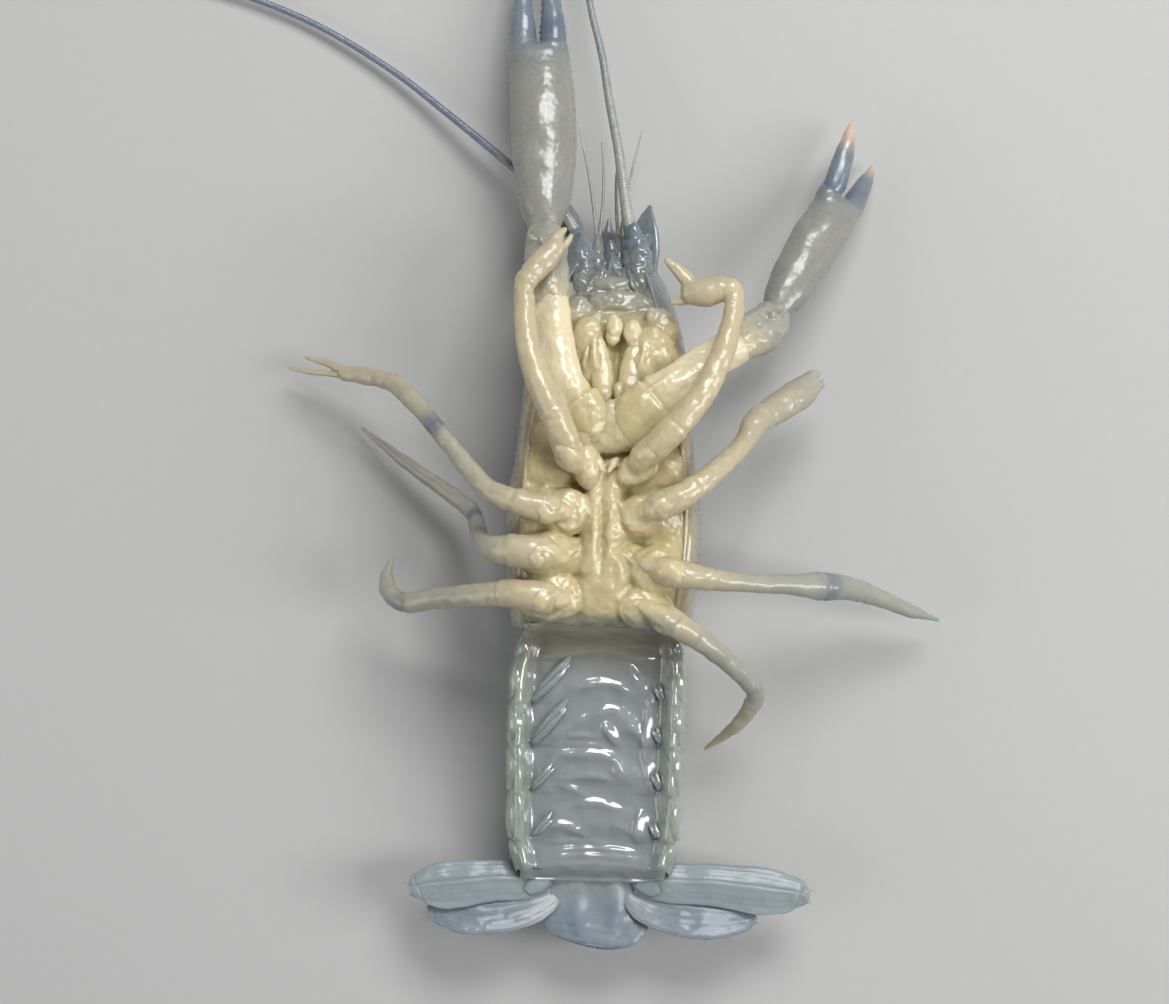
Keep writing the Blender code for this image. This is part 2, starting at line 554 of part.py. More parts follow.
def build_tail_fan():
    start = RING_EDGES[-1]
    middle = [(0, start, 2.3, 3.0, 0.7), (0, start - 1.2, 2.2, 3.35, 0.6),
              (0, start - 3.0, 2.1, 3.5, 0.45),
              (0, start - 4.7, 2.1, 3.3, 0.4), (0, start - 5.7, 2.1, 2.5, 0.36),
              (0, start - 6.2, 2.1, 1.5, 0.3)]
    mesh_object("tail_fan_middle", tube(middle, sides=12, power=0.6), "tail", shape=bent)
    for side, sign in SIDES.items():
        base = tube([(sign * 4.3, start, 4.4, 0.95), (sign * 4.35, start - 0.7, 4.5, 1.0),
                     (sign * 4.6, start - 1.4, 4.6, 0.5)], sides=8)
        reach = OUTER_REACH[side]
        outer = [(4.2, -0.7, 4.6, 0.7, 0.4), (6.8, -0.8, 4.8, 1.1, 0.42), (9.2, -0.7, 4.9, 2.1, 0.36),
                 (12.3, -1.1, 4.9, 2.2, 0.34),
                 (14.6, -1.5, 4.9, 1.5, 0.3), (15.4, -1.7, 4.9, 0.7, 0.28)]
        outer = [(sign * (x if x < 8 else x * reach), start + y, *rest) for x, y, *rest in outer]
        fused(f"tail_fan_{side}_outer", [base, tube(outer, sides=10, power=0.65)], "tail", shape=bent)
        inner = [(4.0, -1.8, 3.35, 0.7, 0.34), (5.6, -2.3, 3.4, 1.8, 0.36),
                 (8.0, -2.8, 3.45, 2.3, 0.34), (10.4, -3.1, 3.45, 2.0, 0.32),
                 (12.0, -3.2, 3.45, 1.1, 0.3), (12.5, -3.2, 3.45, 0.5, 0.28)]
        inner = [(sign * x, start + y, *rest) for x, y, *rest in inner]
        mesh_object(f"tail_fan_{side}_inner", tube(inner, sides=10, power=0.65), "tail", shape=bent)


def main():
    for old in list(bpy.data.objects):
        bpy.data.objects.remove(old)
    build_shield()
    build_breastplate()
    build_legs()
    build_claws()
    build_face()
    build_tail()
    build_tail_fan()
    for made in bpy.data.objects:
        made.data.transform(Matrix.Scale(MM, 4))


main()
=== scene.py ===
"""A young blue crayfish at life size, lying on its back as a still museum model.

Sizes in this file are millimetres unless a property says otherwise; MM turns them into metres. +Y
points to the head and +Z up. The back lies at z 0, the underside faces up, and the animal's own left
side is at +X.
"""

import bisect
import math

import bmesh
import bpy
from bpy.props import FloatProperty, FloatVectorProperty, IntProperty, PointerProperty
from mathutils import Matrix, Vector, kdtree, noise


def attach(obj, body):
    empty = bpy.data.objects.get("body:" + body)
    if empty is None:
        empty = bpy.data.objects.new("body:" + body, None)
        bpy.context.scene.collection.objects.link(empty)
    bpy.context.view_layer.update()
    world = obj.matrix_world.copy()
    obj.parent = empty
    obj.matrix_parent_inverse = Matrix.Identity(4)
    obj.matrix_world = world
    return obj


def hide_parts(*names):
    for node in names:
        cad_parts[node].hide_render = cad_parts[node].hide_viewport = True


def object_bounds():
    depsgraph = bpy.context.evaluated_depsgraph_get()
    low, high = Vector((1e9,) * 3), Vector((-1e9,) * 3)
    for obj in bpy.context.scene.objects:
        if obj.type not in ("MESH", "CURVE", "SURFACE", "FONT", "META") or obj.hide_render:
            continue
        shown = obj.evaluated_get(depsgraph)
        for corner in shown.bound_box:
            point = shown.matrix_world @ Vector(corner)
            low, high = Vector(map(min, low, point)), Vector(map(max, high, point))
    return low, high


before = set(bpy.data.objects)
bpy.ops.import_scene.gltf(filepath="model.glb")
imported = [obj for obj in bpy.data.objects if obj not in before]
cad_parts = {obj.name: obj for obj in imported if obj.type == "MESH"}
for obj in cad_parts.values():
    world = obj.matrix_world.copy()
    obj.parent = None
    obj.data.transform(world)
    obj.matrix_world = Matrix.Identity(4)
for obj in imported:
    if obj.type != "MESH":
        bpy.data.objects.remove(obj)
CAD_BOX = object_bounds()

bl_info = {
    "name": "Blue Crayfish",
    "version": (1, 0, 0),
    "blender": (4, 5, 0),
    "location": "View3D > Sidebar > Crayfish",
    "description": "Builds a still blue crayfish lying on its back, piece by piece",
    "category": "Add Mesh",
}

MM = 0.001

# How far every piece stays inside the box of the CAD part.
BOX_GAP = 0.001
SIDES = {"left": 1, "right": -1}
# Each point's colour values: tint, a value for pigment spots and painted shade, and tip.
VALUES = ("tint", "spot", "tip")

# The shield over head and chest: sizes along y, each as pairs of (y, value). The neck groove crosses
# it at NECK_Y on the back and leans forward by NECK_LEAN.
REAR_Y = -9.8
FACE_Y = 17.5
HALF_WIDTH = [(-9.8, 6.9), (-6, 7.35), (-2.5, 7.45), (0, 7.3), (4.3, 6.75), (8, 6.4), (11, 6.1),
              (14.5, 5.3), (17.5, 4.1)]
BACK_Z = [(-9.8, 0.3), (-8, 0), (7, 0), (12, 0.35), (17.5, 0.9)]
WIDEST_Z = [(-9.8, 5.4), (0, 6.2), (9, 5.6), (17.5, 4.4)]
MARGIN_Z = [(-9.8, 11.0), (-7, 12.1), (3, 12.2), (6, 11.2), (9, 10.6), (13, 9.8), (17.5, 8.0)]
MARGIN_X = [(-9.8, 5.4), (-2, 6.2), (4, 5.8), (9, 5.0), (13, 4.2), (17.5, 2.9)]
CHEST_Z = 11.6
FLOOR_Z = [(-9.8, 10.9), (-9.0, CHEST_Z), (6.4, CHEST_Z), (8, 11.0), (10, 10.4), (13, 9.6), (17.5, 7.7)]
FLAT_SHARE = 0.30
SHIELD_POWER = 0.74
NECK_Y = 2.2
NECK_LEAN = 0.62
SHIELD_TURNS = 4
SHIELD_MIDDLE_Z = 5.5

# The beak between the eyes: (y, half width). Its side spines are (x, y), and the ridge that runs
# back from it on the left is (x, y, z, radius).
BEAK = [(15.4, 2.0), (17.2, 1.75), (18.3, 1.55), (18.6, 1.15), (19.5, 1.2), (19.8, 0.8), (20.8, 0.8),
        (21.1, 0.4), (22.0, 0.12)]
BEAK_Z = 1.45
BEAK_SPINES = [(1.5, 18.35), (1.15, 19.55), (0.75, 20.85)]
BEAK_RIDGE = [(2.3, 13.2, 0.95, 0.1), (2.15, 14.8, 1.0, 0.22), (2.0, 16.4, 1.15, 0.26),
              (1.8, 17.6, 1.3, 0.2), (1.7, 18.3, 1.35, 0.08)]

# The soft underside: its height along y, and half the width of the keel between the hips.
SOFT_Z = [(-9.7, 10.5), (-9.3, 11.15), (-8.8, 11.6), (-8.2, 11.9), (3.0, 12.1), (6.4, 12.0), (8, 11.5),
          (10, 11.0), (13, 10.2), (15, 9.0), (16.6, 7.6)]
KEEL = [(-9.2, 1.2), (-6.1, 1.7), (-4.5, 1.35), (-2.7, 1.3), (0.5, 1.1), (1.9, 0.8), (3.6, 0.3)]

# Hollows in it: (x, y, half width, half length, depth).
HOLLOWS = [(-2.2, 0.75, 0.7, 0.6, 0.9), (1.7, 0.1, 0.5, 0.8, 0.7), (-2.5, -2.75, 0.9, 0.5, 0.9),
           (2.6, -3.3, 1.1, 0.55, 0.9), (-1.1, 3.8, 0.35, 0.5, 0.5), (1.7, 3.8, 0.4, 0.5, 0.5),
           (-2.4, -5.8, 1.0, 0.35, 0.6), (2.6, -6.6, 1.0, 0.35, 0.5), (0.75, 10.8, 0.5, 1.8, 0.9),
           (-3.2, 4.6, 0.9, 0.5, 0.5), (4.6, 4.2, 0.8, 0.5, 0.5)]

# Soft lumps of the chest: (x, y, z, half length, half width, half height, turn in degrees from +X).
HIP_LUMPS = [
    (-1.35, 2.5, 12.6, 1.8, 1.0, 1.15, 100), (2.3, 2.3, 12.5, 1.6, 1.2, 1.1, 30),
    (-2.9, -0.95, 12.3, 2.1, 1.8, 1.0, 0), (2.9, -1.1, 12.3, 1.9, 1.7, 1.0, 10),
    (-4.3, -4.1, 12.4, 2.3, 1.75, 1.15, 0), (4.0, -5.2, 12.3, 2.1, 1.85, 1.05, 0),
    (-3.9, -7.3, 12.1, 2.7, 1.9, 1.1, 0), (3.1, -8.0, 12.0, 2.3, 1.6, 1.05, -20),
    (-2.4, -4.2, 12.0, 1.4, 1.4, 0.7, 0), (2.2, -4.6, 12.0, 1.3, 1.4, 0.55, 0),
    (-4.0, 2.4, 11.9, 2.0, 1.6, 0.7, 20), (4.3, 2.2, 11.9, 1.9, 1.5, 0.7, 0),
    (-4.6, -0.2, 12.0, 1.5, 1.4, 0.8, 0), (4.4, -1.4, 12.0, 1.5, 1.6, 0.8, 0),
    (0.4, 4.5, 12.6, 2.3, 1.1, 0.8, 0), (-1.2, 5.4, 12.8, 1.8, 1.5, 0.9, 60),
    (1.8, 5.5, 12.8, 2.0, 1.6, 0.95, 40), (0.95, 8.0, 12.0, 0.9, 0.4, 0.6, 90),
    (0.85, 6.1, 12.7, 1.0, 0.36, 0.5, 90), (0.5, 5.5, 12.6, 2.0, 1.5, 0.9, 90),
]

# The cheeks beside the mouth, as lumps like those of the chest.
CHEEKS = [
    (3.6, 11.0, 10.7, 2.3, 1.7, 0.75, 120), (4.0, 13.0, 9.9, 1.7, 1.3, 0.65, 110),
    (2.7, 9.6, 11.2, 1.7, 1.1, 0.6, 105), (-1.6, 11.9, 10.6, 2.1, 1.3, 0.7, 80),
    (-2.3, 13.9, 9.7, 1.5, 1.1, 0.7, 80), (-1.0, 9.7, 11.2, 1.5, 0.9, 0.6, 80),
    (3.3, 12.4, 11.0, 0.8, 0.5, 0.4, 40), (4.2, 11.7, 10.9, 0.6, 0.5, 0.4, 90),
    (3.0, 11.1, 11.2, 0.7, 0.45, 0.4, 150), (4.4, 10.4, 11.0, 0.7, 0.5, 0.35, 60),
    (3.3, 13.9, 10.2, 0.8, 0.45, 0.35, 100), (-1.6, 12.9, 10.9, 0.7, 0.45, 0.35, 60),
    (0.9, 14.9, 8.9, 2.6, 1.1, 0.75, 0), (0.4, 16.2, 8.0, 2.0, 0.9, 0.6, 0),
]

# Curved folds on the hips: (x, y, radius, start, end, thickness), the angles in degrees.
HIP_FOLDS = [
    (-2.2, -1.4, 0.55, -120, 100, 0.2), (-2.6, -0.95, 1.2, 180, 350, 0.22),
    (2.5, -1.1, 1.1, 190, 350, 0.22), (2.3, -1.3, 0.55, 150, 300, 0.18),
    (-4.4, -4.1, 1.3, -75, 80, 0.24), (-4.6, -4.1, 0.8, -60, 70, 0.2),
    (4.1, -5.2, 1.3, 20, 175, 0.24), (4.1, -5.3, 0.75, 0, 170, 0.2),
    (-4.2, -7.3, 1.55, 185, 370, 0.26), (-4.1, -7.1, 0.95, 150, 350, 0.22),
    (2.6, -8.2, 1.2, 100, 270, 0.24), (2.9, -8.2, 0.7, 30, 190, 0.2),
]

# Straighter folds of the chest and cheeks: points (x, y), a radius, and for some the height over the
# soft skin; the others lie on the lumps.
CHEST_FOLDS = [
    ([(-0.55, 3.4), (-0.38, 2.8), (-0.2, 2.1)], 0.32, 0.75),
    ([(0.95, 3.3), (0.6, 2.7), (0.25, 2.0)], 0.32, 0.75),
    ([(-2.9, -4.4), (-2.3, -3.9), (-1.7, -3.4)], 0.22), ([(0.9, -3.6), (1.6, -4.1), (2.4, -4.8)], 0.2),
    ([(-1.6, 0.3), (-1.35, -0.6), (-1.0, -1.4)], 0.2), ([(1.0, 0.1), (1.35, -0.6), (1.6, -1.3)], 0.2),
    ([(0.7, -7.1), (1.2, -7.4), (1.9, -7.6)], 0.24), ([(-3.4, 0.9), (-4.2, 1.0), (-5.0, 0.8)], 0.22),
    ([(2.2, 0.75), (3.6, 0.7), (4.9, 0.9)], 0.22),
    ([(2.0, 8.8), (2.5, 10.0), (2.8, 11.6), (2.8, 13.2)], 0.24),
    ([(-0.5, 8.8), (-0.9, 10.2), (-1.0, 12.0), (-0.8, 13.4)], 0.24),
    ([(-1.0, 14.4), (0.6, 14.8), (2.2, 14.4)], 0.3),
]

# Where the jaws meet, and the station up to which a leg's root belongs to the underside.
JAW_X = 1.2
ROOT_END = 1.35

# The left foot jaw: (x from the mouth's middle, y, z, half width, half thickness), then its palp.
MOUTH_X = 0.7
FOOT_JAW = [(0.85, 7.3, 11.9, 0.45, 0.3), (0.95, 8.2, 11.8, 0.8, 0.4), (1.1, 9.3, 11.5, 0.9, 0.42),
            (1.25, 10.5, 11.2, 0.8, 0.38), (1.35, 11.4, 11.0, 0.6, 0.34), (1.4, 12.1, 10.8, 0.4, 0.3),
            (1.35, 12.7, 10.6, 0.2, 0.18)]
PALP = [(1.9, 8.3, 11.2, 0.34), (2.2, 9.6, 11.2, 0.4), (2.25, 11.0, 11.1, 0.34), (2.0, 12.2, 10.8, 0.24),
        (1.6, 13.0, 10.6, 0.1)]

# Walking legs: (x, y, z, radius) from the hip to the tip.
LEGS = {
    ("left", 2): [(2.0, 2.3, 12.8, 1.0), (2.9, 3.3, 13.9, 1.05), (4.6, 4.9, 14.9, 1.05),
                  (6.9, 7.7, 14.8, 0.95), (8.5, 10.9, 14.0, 0.85), (9.4, 14.7, 13.2, 0.75),
                  (8.9, 15.9, 12.9, 0.9), (7.3, 15.7, 12.6, 1.1), (6.1, 15.7, 12.4, 0.95)],
    ("right", 2): [(-2.0, 2.3, 12.8, 1.0), (-2.6, 3.2, 14.2, 1.05), (-3.7, 6.0, 15.3, 1.05),
                   (-4.9, 8.4, 15.2, 0.95), (-5.9, 11.4, 14.6, 0.85), (-6.3, 15.2, 13.8, 0.75),
                   (-6.0, 16.4, 13.6, 0.85), (-4.9, 17.7, 13.3, 0.95), (-4.0, 18.8, 13.0, 0.8)],
    ("left", 3): [(2.7, -1.0, 12.9, 1.1), (3.9, -0.5, 13.5, 1.15), (6.4, 0.8, 13.6, 0.95),
                  (8.8, 2.8, 12.2, 0.8), (10.4, 4.4, 10.7, 0.78), (11.4, 6.1, 9.4, 0.95),
                  (12.7, 7.0, 8.2, 1.1), (14.5, 8.2, 7.0, 1.2), (15.6, 9.1, 6.2, 1.0)],
    ("right", 3): [(-2.7, -1.1, 12.9, 1.1), (-3.9, -0.8, 13.5, 1.15), (-6.3, -0.3, 13.8, 0.95),
                   (-8.7, 0.6, 13.0, 0.8), (-10.6, 2.6, 11.8, 0.72), (-12.6, 5.0, 10.5, 0.66),
                   (-14.5, 7.1, 9.0, 0.74), (-16.5, 8.7, 7.2, 0.7), (-20.2, 9.4, 4.9, 0.58)],
    ("left", 4): [(3.2, -4.7, 12.9, 1.2), (4.8, -5.2, 13.4, 1.15), (7.6, -5.7, 13.3, 0.85),
                  (11.0, -6.0, 12.4, 0.68), (14.1, -6.1, 11.2, 0.75), (16.6, -6.2, 9.9, 1.05),
                  (18.9, -6.4, 8.3, 0.85), (21.3, -7.1, 6.5, 0.68), (23.9, -8.1, 4.8, 0.5),
                  (26.2, -8.8, 3.4, 0.14)],
    ("right", 4): [(-3.1, -4.4, 12.9, 1.25), (-4.3, -4.1, 13.7, 1.3), (-6.6, -3.9, 13.9, 1.2),
                   (-8.4, -3.8, 12.9, 0.95), (-9.3, -3.2, 9.8, 0.75), (-9.8, -1.8, 5.9, 0.66),
                   (-10.5, -0.8, 4.4, 0.66), (-12.8, 0.8, 3.2, 0.6), (-15.6, 2.7, 2.3, 0.45),
                   (-19.0, 5.2, 1.5, 0.14)],
    ("left", 5): [(3.1, -7.9, 12.8, 1.15), (4.5, -8.7, 13.1, 1.1), (6.6, -9.8, 12.5, 0.9),
                  (9.3, -11.8, 10.9, 0.75), (11.6, -14.0, 9.0, 0.72), (11.6, -15.5, 7.7, 0.68),
                  (10.4, -17.3, 5.9, 0.52), (8.3, -19.1, 4.0, 0.14)],
    ("right", 5): [(-3.0, -7.6, 12.8, 1.2), (-4.1, -7.4, 13.4, 1.25), (-6.8, -7.1, 13.5, 1.0),
                   (-9.9, -7.4, 11.9, 0.85), (-12.6, -7.7, 10.1, 0.8), (-14.9, -8.1, 8.9, 0.75),
                   (-16.2, -7.4, 8.0, 0.66), (-16.5, -6.1, 7.1, 0.5), (-16.2, -4.8, 6.4, 0.14)],
}

# Where each leg's joints lie, counted in its stations, how blue it is at the knee and the tip, and how
# strong the dark blue is at the knee.
JOINTS = {
    ("left", 2): ((0, 1.1, 2.3, 5, 6.1, 8), 0.1, 0.25, 0.0),
    ("right", 2): ((0, 1.1, 2.3, 5, 6.1, 8), 0.1, 0.3, 0.0),
    ("left", 3): ((0, 1.1, 2.2, 4, 5.6, 8), 0.3, 0.75, 0.1),
    ("right", 3): ((0, 1.1, 2.2, 5, 6.3, 8), 0.7, 0.35, 0.6),
    ("left", 4): ((0, 1.1, 2.2, 5, 6.4, 8.2, 9), 1.0, 1.0, 0.45),
    ("right", 4): ((0, 1.1, 2.3, 5, 6.2, 8.2, 9), 0.9, 0.9, 0.6),
    ("left", 5): ((0, 1.1, 2.2, 4, 5.0, 6.2, 7), 1.0, 0.1, 0.1),
    ("right", 5): ((0, 1.1, 2.3, 5, 6.0, 7.2, 8), 0.85, 1.0, 0.3),
}

# The small pincers that end the second and third legs: the tips of the fixed and the moving finger.
PINCERS = {
    ("left", 2): ((4.1, 18.2, 12.4), (4.7, 14.9, 12.2)),
    ("right", 2): ((-3.2, 20.3, 12.7), (-2.8, 19.8, 12.7)),
    ("left", 3): ((16.5, 10.2, 5.4), (16.9, 9.6, 5.2)),
    ("right", 3): ((-23.6, 10.7, 3.2), (-24.8, 9.8, 2.8)),
}

# Claw arms: (x, y, z, half width, half thickness) along the upper arm, then along the wrist.
ARMS = {
    "left": ([(1.3, 4.7, 12.8, 1.3, 0.8), (1.9, 5.5, 12.9, 1.9, 0.95), (3.1, 6.8, 12.9, 2.1, 1.0),
              (5.2, 8.5, 12.6, 1.7, 1.1), (7.9, 10.6, 11.6, 1.5, 1.15), (9.9, 11.9, 10.6, 1.45, 1.25)],
             [(9.9, 11.9, 10.6, 1.4, 1.25), (10.9, 12.5, 9.9, 1.65, 1.45), (12.0, 13.3, 8.9, 1.7, 1.5),
              (12.7, 14.3, 7.9, 1.35, 1.25)]),
    "right": ([(-1.0, 4.7, 12.8, 1.2, 0.8), (-1.25, 5.5, 12.9, 1.7, 0.95), (-1.9, 6.8, 12.9, 1.8, 1.0),
               (-3.1, 8.6, 12.6, 1.5, 1.1), (-3.8, 11.2, 12.0, 1.5, 1.15), (-4.3, 15.0, 11.3, 1.4, 1.25)],
              [(-4.3, 15.0, 11.3, 1.4, 1.25), (-4.45, 16.6, 10.8, 1.55, 1.4),
               (-4.7, 18.6, 9.8, 1.6, 1.45), (-4.9, 20.2, 8.5, 1.3, 1.2)]),
}

# Ridges on the claw arms, as points and a radius.
ARM_FOLDS = {
    "left": [([(1.6, 6.2, 13.4), (2.7, 7.8, 13.6), (4.5, 9.2, 13.35), (6.5, 10.6, 12.7)], 0.2),
             ([(2.2, 5.1, 13.3), (3.7, 5.8, 13.6), (5.3, 7.1, 13.3)], 0.18)],
    "right": [([(-1.0, 6.2, 13.5), (-1.9, 8.2, 13.35), (-2.7, 10.5, 13.0), (-3.2, 13.0, 12.55)], 0.2),
              ([(-2.4, 5.7, 13.5), (-3.2, 6.9, 13.6), (-3.8, 8.9, 13.4)], 0.18)],
}

# Claws: the palm, its fixed finger and its moving finger, as (x, y, z, half width, half thickness).
CLAWS = {
    "left": ([(12.95, 14.9, 7.4, 1.2, 1.05), (13.7, 16.3, 6.8, 1.7, 1.35), (15.2, 18.9, 5.7, 1.95, 1.5),
              (16.6, 21.3, 4.7, 1.97, 1.4), (17.6, 23.0, 4.0, 1.85, 1.2)],
             [(17.5, 21.2, 4.5, 0.9, 0.85), (18.7, 22.9, 3.6, 0.9, 0.85), (19.8, 24.9, 2.5, 0.72, 0.65),
              (20.6, 26.5, 1.3, 0.2, 0.2)],
             [(16.95, 23.95, 4.1, 0.8, 0.85), (17.45, 24.9, 4.1, 0.85, 0.85),
              (17.95, 26.6, 3.9, 0.8, 0.75), (18.4, 28.2, 3.6, 0.6, 0.55),
              (18.75, 29.8, 3.3, 0.16, 0.16)]),
    "right": ([(-4.95, 20.85, 7.7, 1.3, 1.1), (-5.0, 22.6, 7.2, 1.95, 1.45),
               (-5.1, 26.0, 6.3, 2.5, 1.75), (-5.3, 30.2, 5.3, 2.55, 1.7), (-5.7, 34.3, 4.3, 2.35, 1.4)],
              [(-6.7, 32.0, 4.8, 1.0, 1.0), (-6.9, 35.0, 4.0, 1.1, 1.1), (-7.05, 38.8, 3.1, 0.75, 0.85),
               (-6.9, 42.0, 2.2, 0.55, 0.6), (-6.4, 44.2, 1.6, 0.16, 0.16)],
              [(-4.6, 34.8, 4.2, 1.05, 1.05), (-4.65, 36.2, 3.9, 1.0, 1.0),
               (-4.85, 38.8, 3.2, 0.75, 0.85), (-5.3, 41.8, 2.3, 0.55, 0.6),
               (-6.0, 43.9, 1.7, 0.16, 0.16)]),
}

# Long feelers: points (x, y, z, radius), then their stems.
FEELERS = {
    "left": [(1.75, 20.4, 6.25, 0.62), (1.3, 22.4, 5.85, 0.48), (0.6, 27.0, 5.2, 0.4),
             (-0.2, 31.0, 4.6, 0.36), (-0.8, 34.4, 4.0, 0.32), (-1.9, 39.0, 3.2, 0.29),
             (-2.6, 45.0, 2.2, 0.28), (-2.4, 52.0, 1.4, 0.27), (-0.8, 59.0, 0.9, 0.26),
             (1.6, 65.0, 0.7, 0.12)],
    "right": [(-2.6, 20.6, 5.6, 0.45), (-3.2, 21.6, 5.1, 0.42), (-4.4, 23.0, 4.3, 0.38),
              (-7.6, 25.8, 3.0, 0.34), (-12.8, 30.0, 1.8, 0.31), (-17.6, 33.6, 1.2, 0.29),
              (-24.0, 37.2, 0.9, 0.28), (-31.0, 39.6, 0.8, 0.26), (-38.0, 40.4, 0.7, 0.12)],
}
FEELER_STEMS = {
    "left": [(2.3, 17.8, 6.7, 1.15), (2.2, 19.0, 6.6, 1.1), (1.95, 20.0, 6.4, 0.85),
             (1.65, 20.9, 6.2, 0.6)],
    "right": [(-2.1, 17.8, 6.7, 1.1), (-2.2, 18.9, 6.5, 1.05), (-2.35, 19.8, 6.1, 0.8),
              (-2.55, 20.5, 5.75, 0.5)],
}

# The left small feeler: its stem and its two whips, as points and a radius.
SMALL_STEM = [(0.8, 17.0, 4.9, 0.6), (0.8, 18.4, 4.9, 0.6), (0.82, 19.4, 4.6, 0.48),
              (0.85, 20.3, 4.35, 0.3)]
SMALL_WHIPS = [[(0.85, 19.8, 4.3, 0.2), (1.2, 22.5, 4.0, 0.15), (1.7, 25.5, 3.6, 0.12),
                (2.5, 29.0, 3.0, 0.05)],
               [(0.8, 19.8, 4.4, 0.2), (0.55, 22.5, 4.3, 0.15), (0.5, 25.0, 4.0, 0.12),
                (0.7, 27.8, 3.6, 0.05)]]

# The flat scale beside the left feeler: (x, y, z, half width, half thickness).
BLADE = [(3.0, 17.2, 5.0, 0.7, 0.3), (3.0, 19.0, 4.7, 1.0, 0.3), (2.95, 20.6, 4.4, 0.95, 0.26),
         (3.0, 21.8, 4.15, 0.6, 0.2), (3.2, 22.9, 3.9, 0.1, 0.1)]

# The left eye's stalk and ball, as points and a radius.
EYE_STALK = [(2.3, 17.3, 3.0, 0.5), (2.5, 18.1, 3.0, 0.6), (2.65, 18.6, 2.95, 0.78),
             (2.78, 18.95, 2.92, 0.86)]
EYE_BALL = [(2.72, 18.8, 2.93, 0.84), (2.85, 19.15, 2.9, 0.96), (2.95, 19.5, 2.85, 0.93),
            (3.05, 19.85, 2.8, 0.74), (3.12, 20.12, 2.8, 0.42), (3.15, 20.2, 2.8, 0.12)]

# The soft front of the head, as lumps and folds like those of the chest.
MUZZLE = [(0.3, 16.4, 7.0, 3.4, 1.3, 1.3, 0), (0.5, 17.8, 6.2, 0.9, 0.8, 0.9, 90),
          (-0.9, 18.0, 6.1, 1.0, 0.7, 0.8, 90), (2.4, 16.2, 7.7, 1.2, 0.8, 0.8, 70),
          (-2.0, 16.3, 7.7, 1.2, 0.8, 0.8, 110), (0.9, 16.9, 7.7, 0.8, 0.45, 0.5, 120),
          (-0.6, 17.1, 7.6, 0.8, 0.4, 0.5, 75), (0.2, 18.9, 5.6, 1.2, 0.5, 0.5, 95),
          (1.6, 18.6, 7.1, 0.8, 0.4, 0.4, 60), (-1.5, 18.9, 6.9, 0.8, 0.35, 0.4, 120),
          (2.9, 19.9, 6.2, 0.7, 0.4, 0.35, 80), (0.0, 15.4, 8.3, 2.6, 0.9, 0.5, 0)]
MUZZLE_FOLDS = [([(-1.9, 15.6, 8.5), (-1.3, 16.5, 8.35), (-0.9, 17.5, 7.6)], 0.2),
                ([(2.3, 15.6, 8.6), (1.8, 16.6, 8.4), (1.5, 17.6, 7.8)], 0.2),
                ([(-0.1, 17.0, 7.9), (0.2, 18.1, 7.1), (0.3, 19.3, 6.2)], 0.16)]

# The tail's six rings: their front edges, and sizes along y before the tail is bent.
RING_EDGES = [-10.1, -12.2, -15.5, -18.8, -22.5, -26.6, -30.4]
TAIL_HALF_WIDTH = [(-30.4, 6.0), (-26.6, 6.65), (-21, 6.85), (-14, 6.9), (-12, 6.7), (-10.1, 6.2)]
TAIL_SKIRT_Z = [(-30.4, 7.2), (-22, 8.8), (-14, 9.6), (-10.1, 9.2)]
TAIL_BELLY_Z = [(-30.4, 6.2), (-22, 7.2), (-14, 8.0), (-10.1, 8.2)]
TAIL_WIDEST_Z = 4.7
TAIL_MIDDLE_Z = 4.6
TAIL_SHIFT = -0.3

# Behind BEND_Y the tail curls up through BEND_ANGLE over the length BEND_RUN.
BEND_Y = -25.5
BEND_RUN = 8.0
BEND_ANGLE = math.radians(32)
BEND_Z = 1.0

# The soft skin under the tail: its share of the tail's width, and how far from a fold the skin rises.
BELLY_SHARE = 0.95
FOLD_REACH = 1.6

# Folds of that skin: points (x, y) before the tail is bent, and a radius.
BELLY_FOLDS = [
    ([(-2.9, -18.9), (-2.5, -17.7), (-1.4, -16.8), (1.1, -15.95), (2.6, -16.9)], 0.42),
    ([(-4.0, -21.2), (-3.4, -20.1), (-2.4, -19.5), (1.0, -19.6), (2.0, -20.9)], 0.42),
    ([(-2.7, -18.0), (-1.0, -18.05), (0.5, -18.1)], 0.24),
    ([(-2.8, -18.7), (-1.0, -18.75), (0.7, -18.8)], 0.24),
    ([(-2.8, -21.5), (-0.6, -21.15), (1.3, -21.4)], 0.24),
    ([(-2.8, -21.8), (-1.6, -22.2), (-0.5, -22.7)], 0.24),
    ([(-4.9, -26.9), (-4.0, -25.6), (-3.0, -25.0), (-1.5, -25.3), (-0.1, -26.6)], 0.36),
    ([(-3.8, -26.9), (-1.5, -26.6), (1.0, -26.9)], 0.2),
    ([(-3.6, -27.9), (0.0, -27.5), (3.4, -27.9)], 0.22),
    ([(-3.4, -28.7), (0.0, -28.4), (2.9, -28.7)], 0.2),
    ([(-3.0, -29.6), (0.3, -29.4), (3.2, -29.7)], 0.2),
    ([(-3.0, -23.9), (-0.4, -23.2), (2.6, -23.8)], 0.26),
    ([(1.4, -24.9), (2.1, -25.0), (2.8, -25.4)], 0.26),
    ([(4.0, -18.2), (3.4, -17.9), (2.7, -17.3)], 0.4),
    ([(-5.2, -18.6), (-5.3, -20.0), (-5.1, -21.4)], 0.3),
    ([(-5.2, -22.8), (-5.4, -24.0), (-5.1, -25.4)], 0.3),
    ([(-3.4, -12.2), (0.0, -11.5), (3.4, -12.2)], 0.3), ([(2.0, -12.4), (2.4, -12.9), (2.9, -13.6)], 0.3),
    ([(-1.8, -14.4), (0.5, -14.0), (2.6, -14.6)], 0.26),
]

